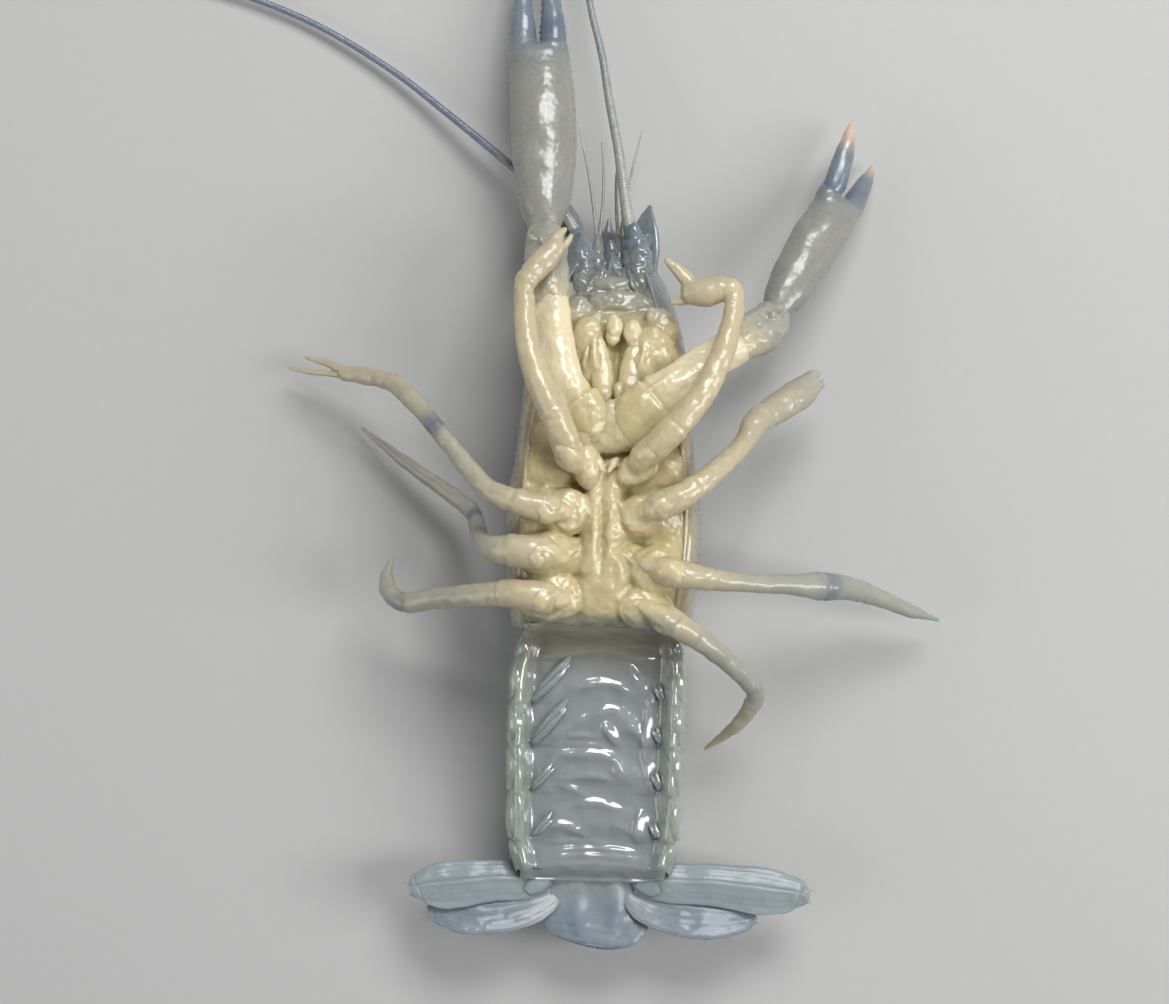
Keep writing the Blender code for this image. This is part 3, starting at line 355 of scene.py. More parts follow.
# Flat facets between the folds, which lean to the animal's left: points (x, y), and half the width.
BELLY_FACETS = [
    ([(4.5, -14.3), (4.35, -16.4), (4.25, -18.3), (4.35, -20.4), (4.6, -22.5)], 0.5),
    ([(3.8, -23.6), (3.8, -25.2), (3.6, -26.9)], 0.55),
    ([(0.8, -16.9), (1.4, -17.8), (1.9, -18.9)], 0.45),
]
FACET_LEAN = 0.42

# The swimmerets' roots and tips: (x, y from the middle of their ring).
SWIMMERETS = {"left": ((5.0, -1.3), (4.5, 0.7)), "right": ((-4.7, -1.5), (-2.2, 1.9))}

# The tail fan on the left: the shared root of its lobes, then each lobe from the root out, as
# (x, y behind the last ring, z, half width, half thickness).
FAN_BASE = [(3.9, 0.3, 4.3, 1.1, 0.8), (4.3, -0.2, 4.3, 1.4, 0.8), (4.8, -0.8, 4.4, 1.3, 0.65),
            (5.4, -1.4, 4.4, 0.9, 0.4)]
OUTER_LOBE = [(3.4, -0.2, 4.4, 1.3, 0.5), (5.6, -0.45, 4.65, 2.0, 0.46), (8.6, -0.6, 4.85, 2.15, 0.42),
              (12.2, -1.15, 4.9, 2.4, 0.38), (14.4, -1.5, 4.9, 1.8, 0.32), (15.3, -1.75, 4.9, 0.95, 0.28),
              (15.6, -1.8, 4.9, 0.5, 0.25)]
INNER_LOBE = [(2.9, -0.9, 3.6, 1.0, 0.36), (4.2, -1.8, 3.6, 2.0, 0.4), (6.2, -2.5, 3.65, 2.4, 0.4),
              (8.6, -2.85, 3.7, 2.5, 0.38), (10.6, -2.95, 3.65, 2.1, 0.34), (12.0, -3.0, 3.55, 1.4, 0.3),
              (12.7, -3.0, 3.5, 0.7, 0.28)]
MIDDLE_LOBE = [(0.1, 0.7, 4.3, 3.4, 0.8), (0.2, -0.4, 3.9, 3.8, 0.8), (0.3, -1.6, 3.4, 4.1, 0.7),
               (0.35, -2.8, 3.0, 4.2, 0.6), (0.4, -3.8, 2.8, 4.05, 0.5), (0.38, -4.6, 2.6, 3.6, 0.45),
               (0.35, -5.1, 2.5, 2.95, 0.4), (0.32, -5.4, 2.4, 2.1, 0.35), (0.3, -5.58, 2.4, 1.1, 0.3)]

# Each outer lobe is stretched by its reach where it lies more than OUTER_X from the middle.
OUTER_X = 8
OUTER_REACH = {"left": 1.07, "right": 0.9}

# The stage: the camera's place over the floor, the gap under the animal, and the light of the room.
CAMERA_PLACE = (-1.48, -0.19)
FLOOR_GAP = 0.05
ROOM_LIGHT = 0.2


class CrayfishSizes(bpy.types.PropertyGroup):
    """Sizes of the fine detail."""

    lip: FloatProperty(name="Shell lip", description="Thickness of the rolled edge of the shield",
                       default=0.0002, min=0.0001, max=0.0006, unit="LENGTH")
    fold: FloatProperty(name="Belly fold", description="Height of the soft folds under the tail",
                        default=0.0003, min=0, max=0.0005, unit="LENGTH")
    granule: FloatProperty(name="Granule", description="Radius of the granules on shield and claws",
                           default=0.00007, min=0.00002, max=0.0003, unit="LENGTH")
    granules: FloatProperty(name="Granules", description="Granules on each square millimetre",
                            default=2.2, min=0, max=20)
    bristle: FloatProperty(name="Bristle", description="Length of the bristles round the tail fan",
                           default=0.0011, min=0.0002, max=0.003, unit="LENGTH")
    bristle_gap: FloatProperty(name="Bristle gap", description="Distance from bristle to bristle",
                               default=0.00016, min=0.00005, max=0.001, unit="LENGTH")
    bristle_radius: FloatProperty(name="Bristle radius", description="Radius at a bristle's foot",
                                  default=0.000028, min=0.00001, max=0.0001, unit="LENGTH")
    ring: FloatProperty(name="Feeler ring", description="Length of one ring of a long feeler",
                        default=0.00022, min=0.0001, max=0.001, unit="LENGTH")
    seed: IntProperty(name="Seed", description="Start of the random draws", default=7, min=0)


def colour_property(label, description, value):
    """A colour that a user can change."""
    return FloatVectorProperty(name=label, description=description, default=value, size=3, min=0, max=1,
                               subtype="COLOR")


class CrayfishColours(bpy.types.PropertyGroup):
    """Colours of the animal, linear."""

    cream: colour_property("Cream", "Chest, hips and mouth", (0.47, 0.39, 0.21))
    # Olive is painted shade in the underside's hollows, its keel groove, the channel between the jaws and
    # low on the jaws; it also colours the rear of the chest and the roots of the claw arms.
    olive: colour_property("Olive", "The hollows and the channel between the jaws", (0.43, 0.38, 0.17))
    leg: colour_property("Leg", "Legs near the body", (0.55, 0.465, 0.295))
    arm: colour_property("Arm", "Upper arms of the claws, and the jaws", (0.66, 0.58, 0.40))
    leg_far: colour_property("Leg tips", "Legs near their tips", (0.33, 0.335, 0.29))
    deep: colour_property("Deep blue", "Pigment at knees and finger roots", (0.05, 0.08, 0.16))
    teal: colour_property("Teal", "The tips of the legs", (0.22, 0.34, 0.30))
    palm: colour_property("Palm", "Claw palms", (0.25, 0.25, 0.22))
    finger: colour_property("Finger", "Claw fingers", (0.17, 0.20, 0.23))
    finger_tip: colour_property("Finger tip", "Tips of the claw fingers", (0.58, 0.42, 0.30))
    face: colour_property("Face", "The front of the head", (0.25, 0.26, 0.22))
    flank: colour_property("Flank", "Sides of the shield near its margin", (0.36, 0.30, 0.19))
    shield: colour_property("Shield", "Back and sides of the shield", (0.19, 0.23, 0.26))
    belly: colour_property("Belly", "Soft skin under the tail", (0.30, 0.32, 0.325))
    chest_end: colour_property("Tail root", "The belly next to the chest", (0.25, 0.23, 0.155))
    skirt: colour_property("Skirt", "Edges of the tail rings", (0.34, 0.38, 0.31))
    fan: colour_property("Fan", "Tail fan", (0.27, 0.32, 0.34))
    feeler: colour_property("Feeler", "Long feelers", (0.12, 0.15, 0.21))
    eye: colour_property("Eye", "Eye", (0.004, 0.004, 0.006))


class CrayfishStage(bpy.types.PropertyGroup):
    """The floor, the lights and the camera."""

    floor: colour_property("Floor", "Colour of the floor", (0.42, 0.42, 0.41))
    height: FloatProperty(name="Camera height", description="Height of the camera over the floor",
                          default=0.24, min=0.05, max=2, unit="LENGTH")
    turn: FloatProperty(name="Camera turn", description="Turn of the camera about the upright",
                        default=math.radians(1.15), subtype="ANGLE")
    lens: FloatProperty(name="Lens", description="Focal length", default=93.7, min=10, max=300,
                        unit="CAMERA")
    key: FloatProperty(name="Key light", description="Power of the main light", default=0.9, min=0,
                       unit="POWER")
    fill: FloatProperty(name="Fill light", description="Power of the soft side light", default=0.4,
                        min=0, unit="POWER")


def smooth(table, place):
    """The value at place of a smooth curve through (place, value) pairs, with no overshoot."""
    if place <= table[0][0]:
        return table[0][1]
    if place >= table[-1][0]:
        return table[-1][1]
    i = max(k for k in range(len(table) - 1) if table[k][0] <= place)
    rises = [(b[1] - a[1]) / (b[0] - a[0]) for a, b in zip(table, table[1:])]

    def slope(k):
        if k == 0 or k == len(rises):
            return rises[min(k, len(rises) - 1)]
        return 0 if rises[k - 1] * rises[k] <= 0 else (rises[k - 1] + rises[k]) / 2

    (start, low), (end, high) = table[i], table[i + 1]
    run = end - start
    f = (place - start) / run
    near = (2 * f**3 - 3 * f**2 + 1) * low + (f**3 - 2 * f**2 + f) * run * slope(i)
    return near + (3 * f**2 - 2 * f**3) * high + (f**3 - f**2) * run * slope(i + 1)


def through(points, t):
    """The point at t, counted in points, of a smooth curve through equal lists of numbers."""
    t = min(max(t, 0), len(points) - 1)
    i = min(int(t), len(points) - 2)
    f = t - i
    a, b, c, d = (points[min(max(k, 0), len(points) - 1)] for k in (i - 1, i, i + 1, i + 2))
    return [
        0.5 * (2 * q + (r - p) * f + (2 * p - 5 * q + 4 * r - s) * f**2 + (3 * q - p - 3 * r + s) * f**3)
        for p, q, r, s in zip(a, b, c, d)
    ]


def swell(value, centre, width):
    """A soft bump of height 1 at centre."""
    return math.exp(-(((value - centre) / width) ** 2))


def spaced(start, end, steps):
    """The numbers that divide the run from start to end into equal steps."""
    return [start + (end - start) * k / steps for k in range(steps + 1)]


def beside(rows, sign, middle=0.0, start=0.0):
    """Rows of a path on one side: x is counted out from the middle, and y on from start."""
    return [(middle + sign * x, start + y, *rest) for x, y, *rest in rows]


def ease(value, low, high):
    """Rises softly from 0 at low to 1 at high."""
    f = min(max((value - low) / (high - low), 0), 1)
    return f * f * (3 - 2 * f)


def rounded(value, power):
    """A power that keeps the sign."""
    return math.copysign(abs(value) ** power, value)


class Path:
    """A smooth path through (x, y, z, half width[, half thickness]), with a frame that doesn't twist."""

    FINE = 16

    def __init__(self, points, up=(0, 0, 1), shape=None):
        self.points = points
        self.end = len(points) - 1
        self.shape = shape or Vector
        self.frames = []
        self.run = [0.0]
        normal = Vector(up)
        for i in range(self.end * self.FINE + 1):
            t = i / self.FINE
            along = (self.flat(t + 0.04) - self.flat(t - 0.04)).normalized()
            normal = (normal - along * normal.dot(along)).normalized()
            self.frames.append((along, normal.copy()))
            if i:
                self.run.append(self.run[-1] + (self.flat(t) - self.flat(t - 1 / self.FINE)).length)

    def flat(self, t):
        """The point at t before the path's shape is bent."""
        return Vector(through(self.points, t)[:3])

    def at(self, t):
        """The point at t."""
        return Vector(self.shape(self.flat(t)))

    def frame(self, t):
        """The directions along, upright to and across the path at t, before it is bent."""
        place = min(max(t, 0), self.end) * self.FINE
        i = min(int(place), len(self.frames) - 2)
        along = self.frames[i][0].lerp(self.frames[i + 1][0], place - i).normalized()
        normal = self.frames[i][1].lerp(self.frames[i + 1][1], place - i).normalized()
        return along, normal, normal.cross(along)

    def size(self, t):
        """Half the width and half the thickness at t."""
        row = through(self.points, t)
        return max(row[3], 0.02), max(row[-1], 0.02)

    def length(self, t):
        """How far along the path t lies, in mm."""
        place = min(max(t, 0), self.end) * self.FINE
        i = min(int(place), len(self.run) - 2)
        return self.run[i] + (self.run[i + 1] - self.run[i]) * (place - i)

    def t_at(self, distance):
        """The t that lies so far along the path, in mm."""
        i = min(max(bisect.bisect_right(self.run, distance) - 1, 0), len(self.run) - 2)
        return (i + (distance - self.run[i]) / (self.run[i + 1] - self.run[i])) / self.FINE

    def nearest(self):
        """A rule that gives the t of the path's point nearest to a point."""
        count = self.end * self.FINE * 2
        tree = kdtree.KDTree(count + 1)
        for i in range(count + 1):
            tree.insert(self.at(self.end * i / count), i)
        tree.balance()
        return lambda p: tree.find(p)[1] * self.end / count

    def ring(self, t, scale=1.0, sides=18, power=1.0, relief=None, push=0.0):
        """Points round the path at t; relief(angle) scales each one, and push moves them along."""
        along, normal, across = self.frame(t)
        wide, thick = self.size(t)
        centre = self.flat(t) + along * push
        points = []
        for k in range(sides):
            a = 2 * math.pi * (k + 0.5) / sides
            r = scale * (relief(a) if relief else 1)
            point = (centre + across * (wide * r * rounded(math.cos(a), power))
                     + normal * (thick * r * rounded(math.sin(a), power)))
            points.append(self.shape(point))
        return points


class Form:
    """Closed skins in the making: points in mm, faces, and each point's colour values."""

    def __init__(self):
        self.points, self.faces = [], []
        self.values = {name: [] for name in VALUES}

    def skin(self, rings, **values):
        """Adds a closed skin through rings. A value is one number, or a list with one for each ring."""
        count, first = len(rings[0]), len(self.points)
        self.points += [Vector(p) for ring in rings for p in ring]
        for i in range(len(rings) - 1):
            for k in range(count):
                n = (k + 1) % count
                low, high = first + i * count, first + (i + 1) * count
                self.faces.append((low + k, low + n, high + n, high + k))
        for ring, start in ((rings[0], first), (rings[-1], first + (len(rings) - 1) * count)):
            centre = len(self.points)
            self.points.append(sum((Vector(p) for p in ring), Vector()) / count)
            self.faces += [(centre, start + k, start + (k + 1) % count) for k in range(count)]
        for name in VALUES:
            value = values.get(name, 0.0)
            rows = value if isinstance(value, list) else [value] * len(rings)
            self.values[name] += [v for v in rows for _ in range(count)] + [rows[0], rows[-1]]

    def colour(self, **rules):
        """Sets values by rules that read a point in mm."""
        for name, rule in rules.items():
            self.values[name] = [rule(p) for p in self.points]


def mesh_of(name, form):
    """A mesh in mm whose closed skins all face outwards."""
    mesh = bpy.data.meshes.new(name)
    mesh.from_pydata(form.points, [], form.faces)
    for value in VALUES:
        layer = mesh.attributes.new(value, "FLOAT", "POINT")
        layer.data.foreach_set("value", form.values[value])
    grid = bmesh.new()
    grid.from_mesh(mesh)
    bmesh.ops.recalc_face_normals(grid, faces=grid.faces)
    grid.to_mesh(mesh)
    grid.free()
    return mesh


def roughen(mesh, *waves, where=None):
    """Moves points along their normals by waves of noise, each (height, size), as far as a rule says."""
    for height, size in waves:
        mesh.update()
        normals = [n.vector.copy() for n in mesh.vertex_normals]
        for vertex, normal in zip(mesh.vertices, normals):
            share = where(vertex.co) if where else 1
            if share:
                vertex.co += normal * (height * share * noise.noise(vertex.co / size))


def in_scene(name, data):
    """A new object in the scene."""
    made = bpy.data.objects.new(name, data)
    bpy.context.scene.collection.objects.link(made)
    return made


def finished(name, mesh, kind, replaces=()):
    """Hands a mesh in mm over as a piece of the animal, in that kind of finish."""
    mesh.name = name
    low = [value / MM + BOX_GAP for value in CAD_BOX[0]]
    high = [value / MM - BOX_GAP for value in CAD_BOX[1]]
    for vertex in mesh.vertices:
        vertex.co = [min(max(v, a), b) for v, a, b in zip(vertex.co, low, high)]
    mesh.transform(Matrix.Scale(MM, 4))
    mesh.shade_smooth()
    mesh.materials.clear()
    mesh.materials.append(finish(kind))
    piece = in_scene(name, mesh)
    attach(piece, "root")
    if replaces:
        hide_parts(*replaces)


def melted(name, form, voxel, rounds):
    """One closed mesh round overlapping skins, with soft valleys between them."""
    source = in_scene(name, mesh_of(name, form))
    remesh = source.modifiers.new("melt", "REMESH")
    remesh.mode = "VOXEL"
    remesh.voxel_size = voxel
    soften = source.modifiers.new("soften", "SMOOTH")
    soften.iterations = rounds
    return settled(source)


def settled(source):
    """The mesh that an object's modifiers make; the object itself is removed."""
    bpy.context.view_layer.update()
    graph = bpy.context.evaluated_depsgraph_get()
    mesh = bpy.data.meshes.new_from_object(source.evaluated_get(graph), depsgraph=graph)
    bpy.data.objects.remove(source)
    return mesh


def coloured(mesh, **rules):
    """Sets a mesh's colour values by rules that read a point in mm."""
    for name in VALUES:
        layer = mesh.attributes.get(name) or mesh.attributes.new(name, "FLOAT", "POINT")
        rule = rules.get(name)
        layer.data.foreach_set("value", [rule(v.co) if rule else 0.0 for v in mesh.vertices])


def add_node(tree, kind, settings=None, inputs=None):
    """A node with its settings and inputs; an input is a value, or an output to link."""
    node = tree.nodes.new(kind)
    for key, value in (settings or {}).items():
        setattr(node, key, value)
    for key, value in (inputs or {}).items():
        if isinstance(value, bpy.types.NodeSocket):
            tree.links.new(value, node.inputs[key])
        else:
            node.inputs[key].default_value = value
    return node


def mixed(tree, factor, first, second):
    """The output of a colour mix; each colour is a socket or three numbers."""
    as_input = lambda c: c if isinstance(c, bpy.types.NodeSocket) else (*c, 1)
    node = add_node(tree, "ShaderNodeMix", {"data_type": "RGBA"},
                    {0: factor, 6: as_input(first), 7: as_input(second)})
    return node.outputs[2]


def attribute(tree, name, kind="FLOAT"):
    """The output that reads a mesh's own values in a Geometry Nodes tree."""
    return add_node(tree, "GeometryNodeInputNamedAttribute", {"data_type": kind},
                    {"Name": name}).outputs["Attribute"]


def math_node(tree, operation, first, second=0.0, third=0.0):
    """The output of a sum or other rule on numbers."""
    return add_node(tree, "ShaderNodeMath", {"operation": operation},
                    {0: first, 1: second, 2: third}).outputs[0]


def map_range(tree, value, low, high, start, end):
    """The output that runs from start to end as a value runs from low to high."""
    return add_node(tree, "ShaderNodeMapRange", None,
                    {"Value": value, "From Min": low, "From Max": high, "To Min": start,
                     "To Max": end}).outputs[0]


def skin_finish(name, near, far, spot, tip, rough=0.3, mottle=0.25, soft=0.6, clear=0.0, grain=0.2,
                depth=0.0010, size=1.0, wet=1.0, gloss=0.06):
    """Wet living shell: colour runs from near to far with tint, to its colour for pigment spots and
    painted shade, and to tip with theirs.

    Soft is the light that goes under the skin and depth how far, clear the share that shines through,
    and wet the film of water, whose roughness is gloss.
    """
    made = bpy.data.materials.new(name)
    made.use_nodes = True
    tree = made.node_tree
    shader = tree.nodes["Principled BSDF"]
    place = add_node(tree, "ShaderNodeTexCoord").outputs["Object"]
    clouds = add_node(tree, "ShaderNodeTexNoise", None,
                      {"Vector": place, "Scale": 520 * size, "Detail": 4, "Roughness": 0.55}).outputs[0]
    fine = add_node(tree, "ShaderNodeTexNoise", None,
                    {"Vector": place, "Scale": 2600 * size, "Detail": 3, "Roughness": 0.6}).outputs[0]
    values = {n: add_node(tree, "ShaderNodeAttribute", {"attribute_name": n}).outputs["Fac"]
              for n in VALUES}
    shift = math_node(tree, "MULTIPLY_ADD", clouds, 0.5, -0.25)
    tint = math_node(tree, "ADD", values["tint"], math_node(tree, "MULTIPLY", shift, 0.8))
    colour = mixed(tree, math_node(tree, "MINIMUM", math_node(tree, "MAXIMUM", tint, 0), 1), near, far)
    shade = add_node(tree, "ShaderNodeHueSaturation", None,
                     {"Saturation": 1.15, "Value": 1 - mottle * 1.6, "Color": colour}).outputs[0]
    patches = map_range(tree, clouds, 0.38, 0.68, 0, 1)
    colour = mixed(tree, math_node(tree, "MULTIPLY", patches, mottle * 2), colour, shade)
    pale = add_node(tree, "ShaderNodeHueSaturation", None,
                    {"Saturation": 0.8, "Value": 1 + mottle, "Color": colour}).outputs[0]
    flecks = map_range(tree, fine, 0.52, 0.72, 0, mottle * 2)
    colour = mixed(tree, flecks, colour, pale)
    # Real pigment at knees, finger roots, feeler stems and fan; painted shade in the underside's hollows,
    # groove and jaw channel, and low on the jaws.
    pigment_and_shade_mix = math_node(tree, "MULTIPLY", values["spot"], map_range(tree, clouds, 0.2, 0.55, 0.6, 1.1))
    colour = mixed(tree, math_node(tree, "MINIMUM", pigment_and_shade_mix, 1), colour, spot)
    colour = mixed(tree, values["tip"], colour, tip)
    tree.links.new(colour, shader.inputs["Base Color"])
    tree.links.new(map_range(tree, fine, 0.3, 0.7, rough * 0.75, rough * 1.3),
                   shader.inputs["Roughness"])
    bump = add_node(tree, "ShaderNodeBump", None,
                    {"Strength": grain, "Distance": 0.00006, "Height": fine})
    tree.links.new(bump.outputs[0], shader.inputs["Normal"])
    film = add_node(tree, "ShaderNodeBump", None,
                    {"Strength": 0.25, "Distance": 0.00012, "Height": clouds})
    tree.links.new(film.outputs[0], shader.inputs["Coat Normal"])
    for socket, value in {"Coat Weight": wet, "Coat Roughness": gloss, "Coat IOR": 1.6, "IOR": 1.45,
                          "Subsurface Weight": soft, "Subsurface Scale": depth,
                          "Transmission Weight": clear}.items():
        shader.inputs[socket].default_value = value
    shader.inputs["Subsurface Radius"].default_value = (1.0, 0.8, 0.55)
    return made


# The finishes: a name, the colours near, far, at pigment spots and painted shade, and at tips, and what
# sets each finish apart.
FINISH_RULES = {
    "cream": ("cream_shell", "cream leg olive face",
              dict(mottle=0.1, rough=0.38, depth=0.0013, wet=0.36, gloss=0.11)),
    "arm": ("arm_shell", "cream arm olive face",
            dict(mottle=0.08, rough=0.38, depth=0.0013, wet=0.38, gloss=0.12)),
    "face": ("face_shell", "face shield deep leg",
             dict(mottle=0.14, rough=0.25, clear=0.15, wet=0.6, gloss=0.09)),
    "shield": ("shield_shell", "flank shield olive deep", dict(mottle=0.18, wet=0.5, gloss=0.1)),
    "limb": ("leg_shell", "leg leg_far deep teal",
             dict(mottle=0.1, rough=0.38, clear=0.12, wet=0.35, gloss=0.1)),
    "claw": ("claw_shell", "palm finger deep finger_tip",
             dict(mottle=0.14, grain=0.08, wet=0.35, gloss=0.17)),
    "tail": ("tail_shell", "skirt belly shield chest_end", dict(mottle=0.14, rough=0.2, clear=0.18)),
    "fan": ("fan_shell", "fan belly deep skirt",
            dict(mottle=0.18, rough=0.45, clear=0.15, wet=0.2, gloss=0.12)),
    "feeler": ("feeler_shell", "leg_far feeler deep leg", dict(mottle=0.2, size=2.0, wet=0.6)),
    "bristle": ("bristle", "fan feeler deep leg", dict(mottle=0.2, soft=0.2, wet=0.3)),
    "eye": ("eye_glass", "eye feeler deep leg", dict(mottle=0.1, rough=0.08, soft=0.0, grain=0.1)),
}
FINISHES = {}


def finish(kind):
    """The finish of that kind, made on first use from the scene's colours."""
    if kind not in FINISHES:
        name, keys, values = FINISH_RULES[kind]
        colours = [getattr(bpy.context.scene.crayfish_colours, key) for key in keys.split()]
        FINISHES[kind] = skin_finish(name, *colours, **values)
    return FINISHES[kind]


def tree_with(name, inputs):
    """A Geometry Nodes tree with named inputs, and its input and output nodes."""
    tree = bpy.data.node_groups.new(name, "GeometryNodeTree")
    tree.interface.new_socket("Geometry", in_out="INPUT", socket_type="NodeSocketGeometry")
    for label, kind, value in inputs:
        socket = tree.interface.new_socket(label, in_out="INPUT", socket_type="NodeSocket" + kind)
        if value is not None:
            socket.default_value = value
    tree.interface.new_socket("Geometry", in_out="OUTPUT", socket_type="NodeSocketGeometry")
    return tree, tree.nodes.new("NodeGroupInput"), tree.nodes.new("NodeGroupOutput")


def ended(tree, instances, group_in, group_out):
    """Ends a tree in Realize Instances and Set Material."""
    real = add_node(tree, "GeometryNodeRealizeInstances", None, {"Geometry": instances})
    dressed = add_node(tree, "GeometryNodeSetMaterial", None,
                       {"Geometry": real.outputs[0], "Material": group_in.outputs["Material"]})
    tree.links.new(dressed.outputs[0], group_out.inputs[0])
    return tree


def fringe_tree():
    """Bristles that stand on a line, each along the line's own lean."""
    tree, get, out = tree_with("bristle_fringe", [
        ("Spacing", "Float", 0.2), ("Length", "Float", 1.0), ("Radius", "Float", 0.03),
        ("Seed", "Int", 0), ("Material", "Material", None)])
    line = add_node(tree, "GeometryNodeMeshToCurve", None, {"Mesh": get.outputs["Geometry"]})
    feet = add_node(tree, "GeometryNodeResampleCurve", {"mode": "LENGTH"},
                    {"Curve": line.outputs[0], "Length": get.outputs["Spacing"]})
    lean = attribute(tree, "lean", "FLOAT_VECTOR")
    stray = add_node(tree, "FunctionNodeRandomValue", {"data_type": "FLOAT_VECTOR"},
                     {"Min": (-0.22,) * 3, "Max": (0.22,) * 3, "Seed": get.outputs["Seed"]}).outputs[0]
    aim = add_node(tree, "ShaderNodeVectorMath", {"operation": "ADD"}, {0: lean, 1: stray}).outputs[0]
    turn = add_node(tree, "FunctionNodeAlignRotationToVector", {"axis": "Z"}, {"Vector": aim}).outputs[0]
    spread = add_node(tree, "FunctionNodeRandomValue", {"data_type": "FLOAT"},
                      {"Min": 0.6, "Max": 1.1, "Seed": get.outputs["Seed"]})
    tall = math_node(tree, "MULTIPLY", spread.outputs[1], attribute(tree, "reach"))
    tall = math_node(tree, "MULTIPLY", tall, get.outputs["Length"])
    size = add_node(tree, "ShaderNodeCombineXYZ", None,
                    {"X": get.outputs["Radius"], "Y": get.outputs["Radius"], "Z": tall}).outputs[0]
    hair = add_node(tree, "GeometryNodeMeshCone", {"fill_type": "NGON"},
                    {"Vertices": 5, "Side Segments": 2, "Radius Top": 0.12, "Radius Bottom": 1.0,
                     "Depth": 1.0})
    placed = add_node(tree, "GeometryNodeInstanceOnPoints", None,
                      {"Points": feet.outputs[0], "Instance": hair.outputs["Mesh"], "Rotation": turn,
                       "Scale": size})
    return ended(tree, placed.outputs[0], get, out)


def granule_tree():
    """Low rounded granules scattered over a surface, thicker where its grain value is high."""
    tree, get, out = tree_with("granules", [
        ("Density", "Float", 3.0), ("Radius", "Float", 0.07), ("Seed", "Int", 0),
        ("Material", "Material", None)])
    thick = math_node(tree, "MULTIPLY", attribute(tree, "grain"), get.outputs["Density"])
    spots = add_node(tree, "GeometryNodeDistributePointsOnFaces", None,
                     {"Mesh": get.outputs["Geometry"], "Density": thick, "Seed": get.outputs["Seed"]})
    draw = add_node(tree, "FunctionNodeRandomValue", {"data_type": "FLOAT"},
                    {"Min": 0.55, "Max": 1.3, "Seed": get.outputs["Seed"]}).outputs[1]
    size = math_node(tree, "MULTIPLY", draw, get.outputs["Radius"])
    ball = add_node(tree, "GeometryNodeMeshUVSphere", None, {"Segments": 8, "Rings": 5, "Radius": 1.0})
    placed = add_node(tree, "GeometryNodeInstanceOnPoints", None,
                      {"Points": spots.outputs["Points"], "Instance": ball.outputs["Mesh"],
                       "Rotation": spots.outputs["Rotation"], "Scale": size})
    return ended(tree, placed.outputs[0], get, out)


def feeler_tree():
    """A feeler of many short rings along a line, as thick as the line's own thickness."""
    tree, get, out = tree_with("feeler_rings", [
        ("Ring", "Float", 0.2), ("Depth", "Float", 0.16), ("Material", "Material", None)])
    line = add_node(tree, "GeometryNodeMeshToCurve", None, {"Mesh": get.outputs["Geometry"]})
    third = math_node(tree, "DIVIDE", get.outputs["Ring"], 3.0)
    places = add_node(tree, "GeometryNodeResampleCurve", {"mode": "LENGTH"},
                      {"Curve": line.outputs[0], "Length": third})
    index = add_node(tree, "GeometryNodeInputIndex").outputs[0]
    step = math_node(tree, "MODULO", index, 3.0)
    pinch = math_node(tree, "MULTIPLY", math_node(tree, "COMPARE", step, 0.0, 0.1), get.outputs["Depth"])
    size = math_node(tree, "MULTIPLY", attribute(tree, "thick"),
                     math_node(tree, "SUBTRACT", 1.0, pinch))
    circle = add_node(tree, "GeometryNodeCurvePrimitiveCircle", None, {"Resolution": 10, "Radius": 1.0})
    body = add_node(tree, "GeometryNodeCurveToMesh", None,
                    {"Curve": places.outputs[0], "Profile Curve": circle.outputs[0], "Scale": size,
                     "Fill Caps": True})
    return ended(tree, body.outputs[0], get, out)


TREES = {}


def grown(name, mesh, kind, material, **inputs):
    """What a Geometry Nodes tree makes of a mesh in mm."""
    makers = {"fringe": fringe_tree, "granules": granule_tree, "feeler": feeler_tree}
    if kind not in TREES:
        TREES[kind] = makers[kind]()
    tree = TREES[kind]
    source = in_scene(name, mesh)
    modifier = source.modifiers.new(kind, "NODES")
    modifier.node_group = tree
    inputs["Material"] = material
    for item in tree.interface.items_tree:
        if item.in_out == "INPUT" and item.name in inputs:
            modifier[item.identifier] = inputs[item.name]
    return settled(source)


def line_mesh(name, points, **values):
    """A line through points, with a value or a vector for each point."""
    mesh = bpy.data.meshes.new(name)
    mesh.from_pydata([Vector(p) for p in points], [(i, i + 1) for i in range(len(points) - 1)], [])
    for key, rows in values.items():
        if isinstance(rows[0], Vector):
            layer = mesh.attributes.new(key, "FLOAT_VECTOR", "POINT")
            layer.data.foreach_set("vector", [x for row in rows for x in row])
        else:
            layer = mesh.attributes.new(key, "FLOAT", "POINT")
            layer.data.foreach_set("value", rows)
    return mesh


def joined(name, meshes):
    """One mesh from several, with their colour values."""
    grid = bmesh.new()
    for mesh in meshes:
        grid.from_mesh(mesh)
    whole = bpy.data.meshes.new(name)
    grid.to_mesh(whole)
    grid.free()
    return whole


def granules_on(name, mesh, kind, rule, density=1.0, radius=1.0):
    """A piece of granules over a copy of a mesh in mm, thicker where rule(point, normal) is high."""
    sizes = bpy.context.scene.crayfish_sizes
    ground = mesh.copy()
    ground.update()
    normals = [n.vector.copy() for n in ground.vertex_normals]
    layer = ground.attributes.new("grain", "FLOAT", "POINT")
    layer.data.foreach_set("value", [rule(v.co, n) for v, n in zip(ground.vertices, normals)])
    made = grown(name, ground, "granules", finish(kind), Density=sizes.granules * density,
                 Radius=sizes.granule / MM * radius, Seed=sizes.seed)
    finished(name, made, kind)


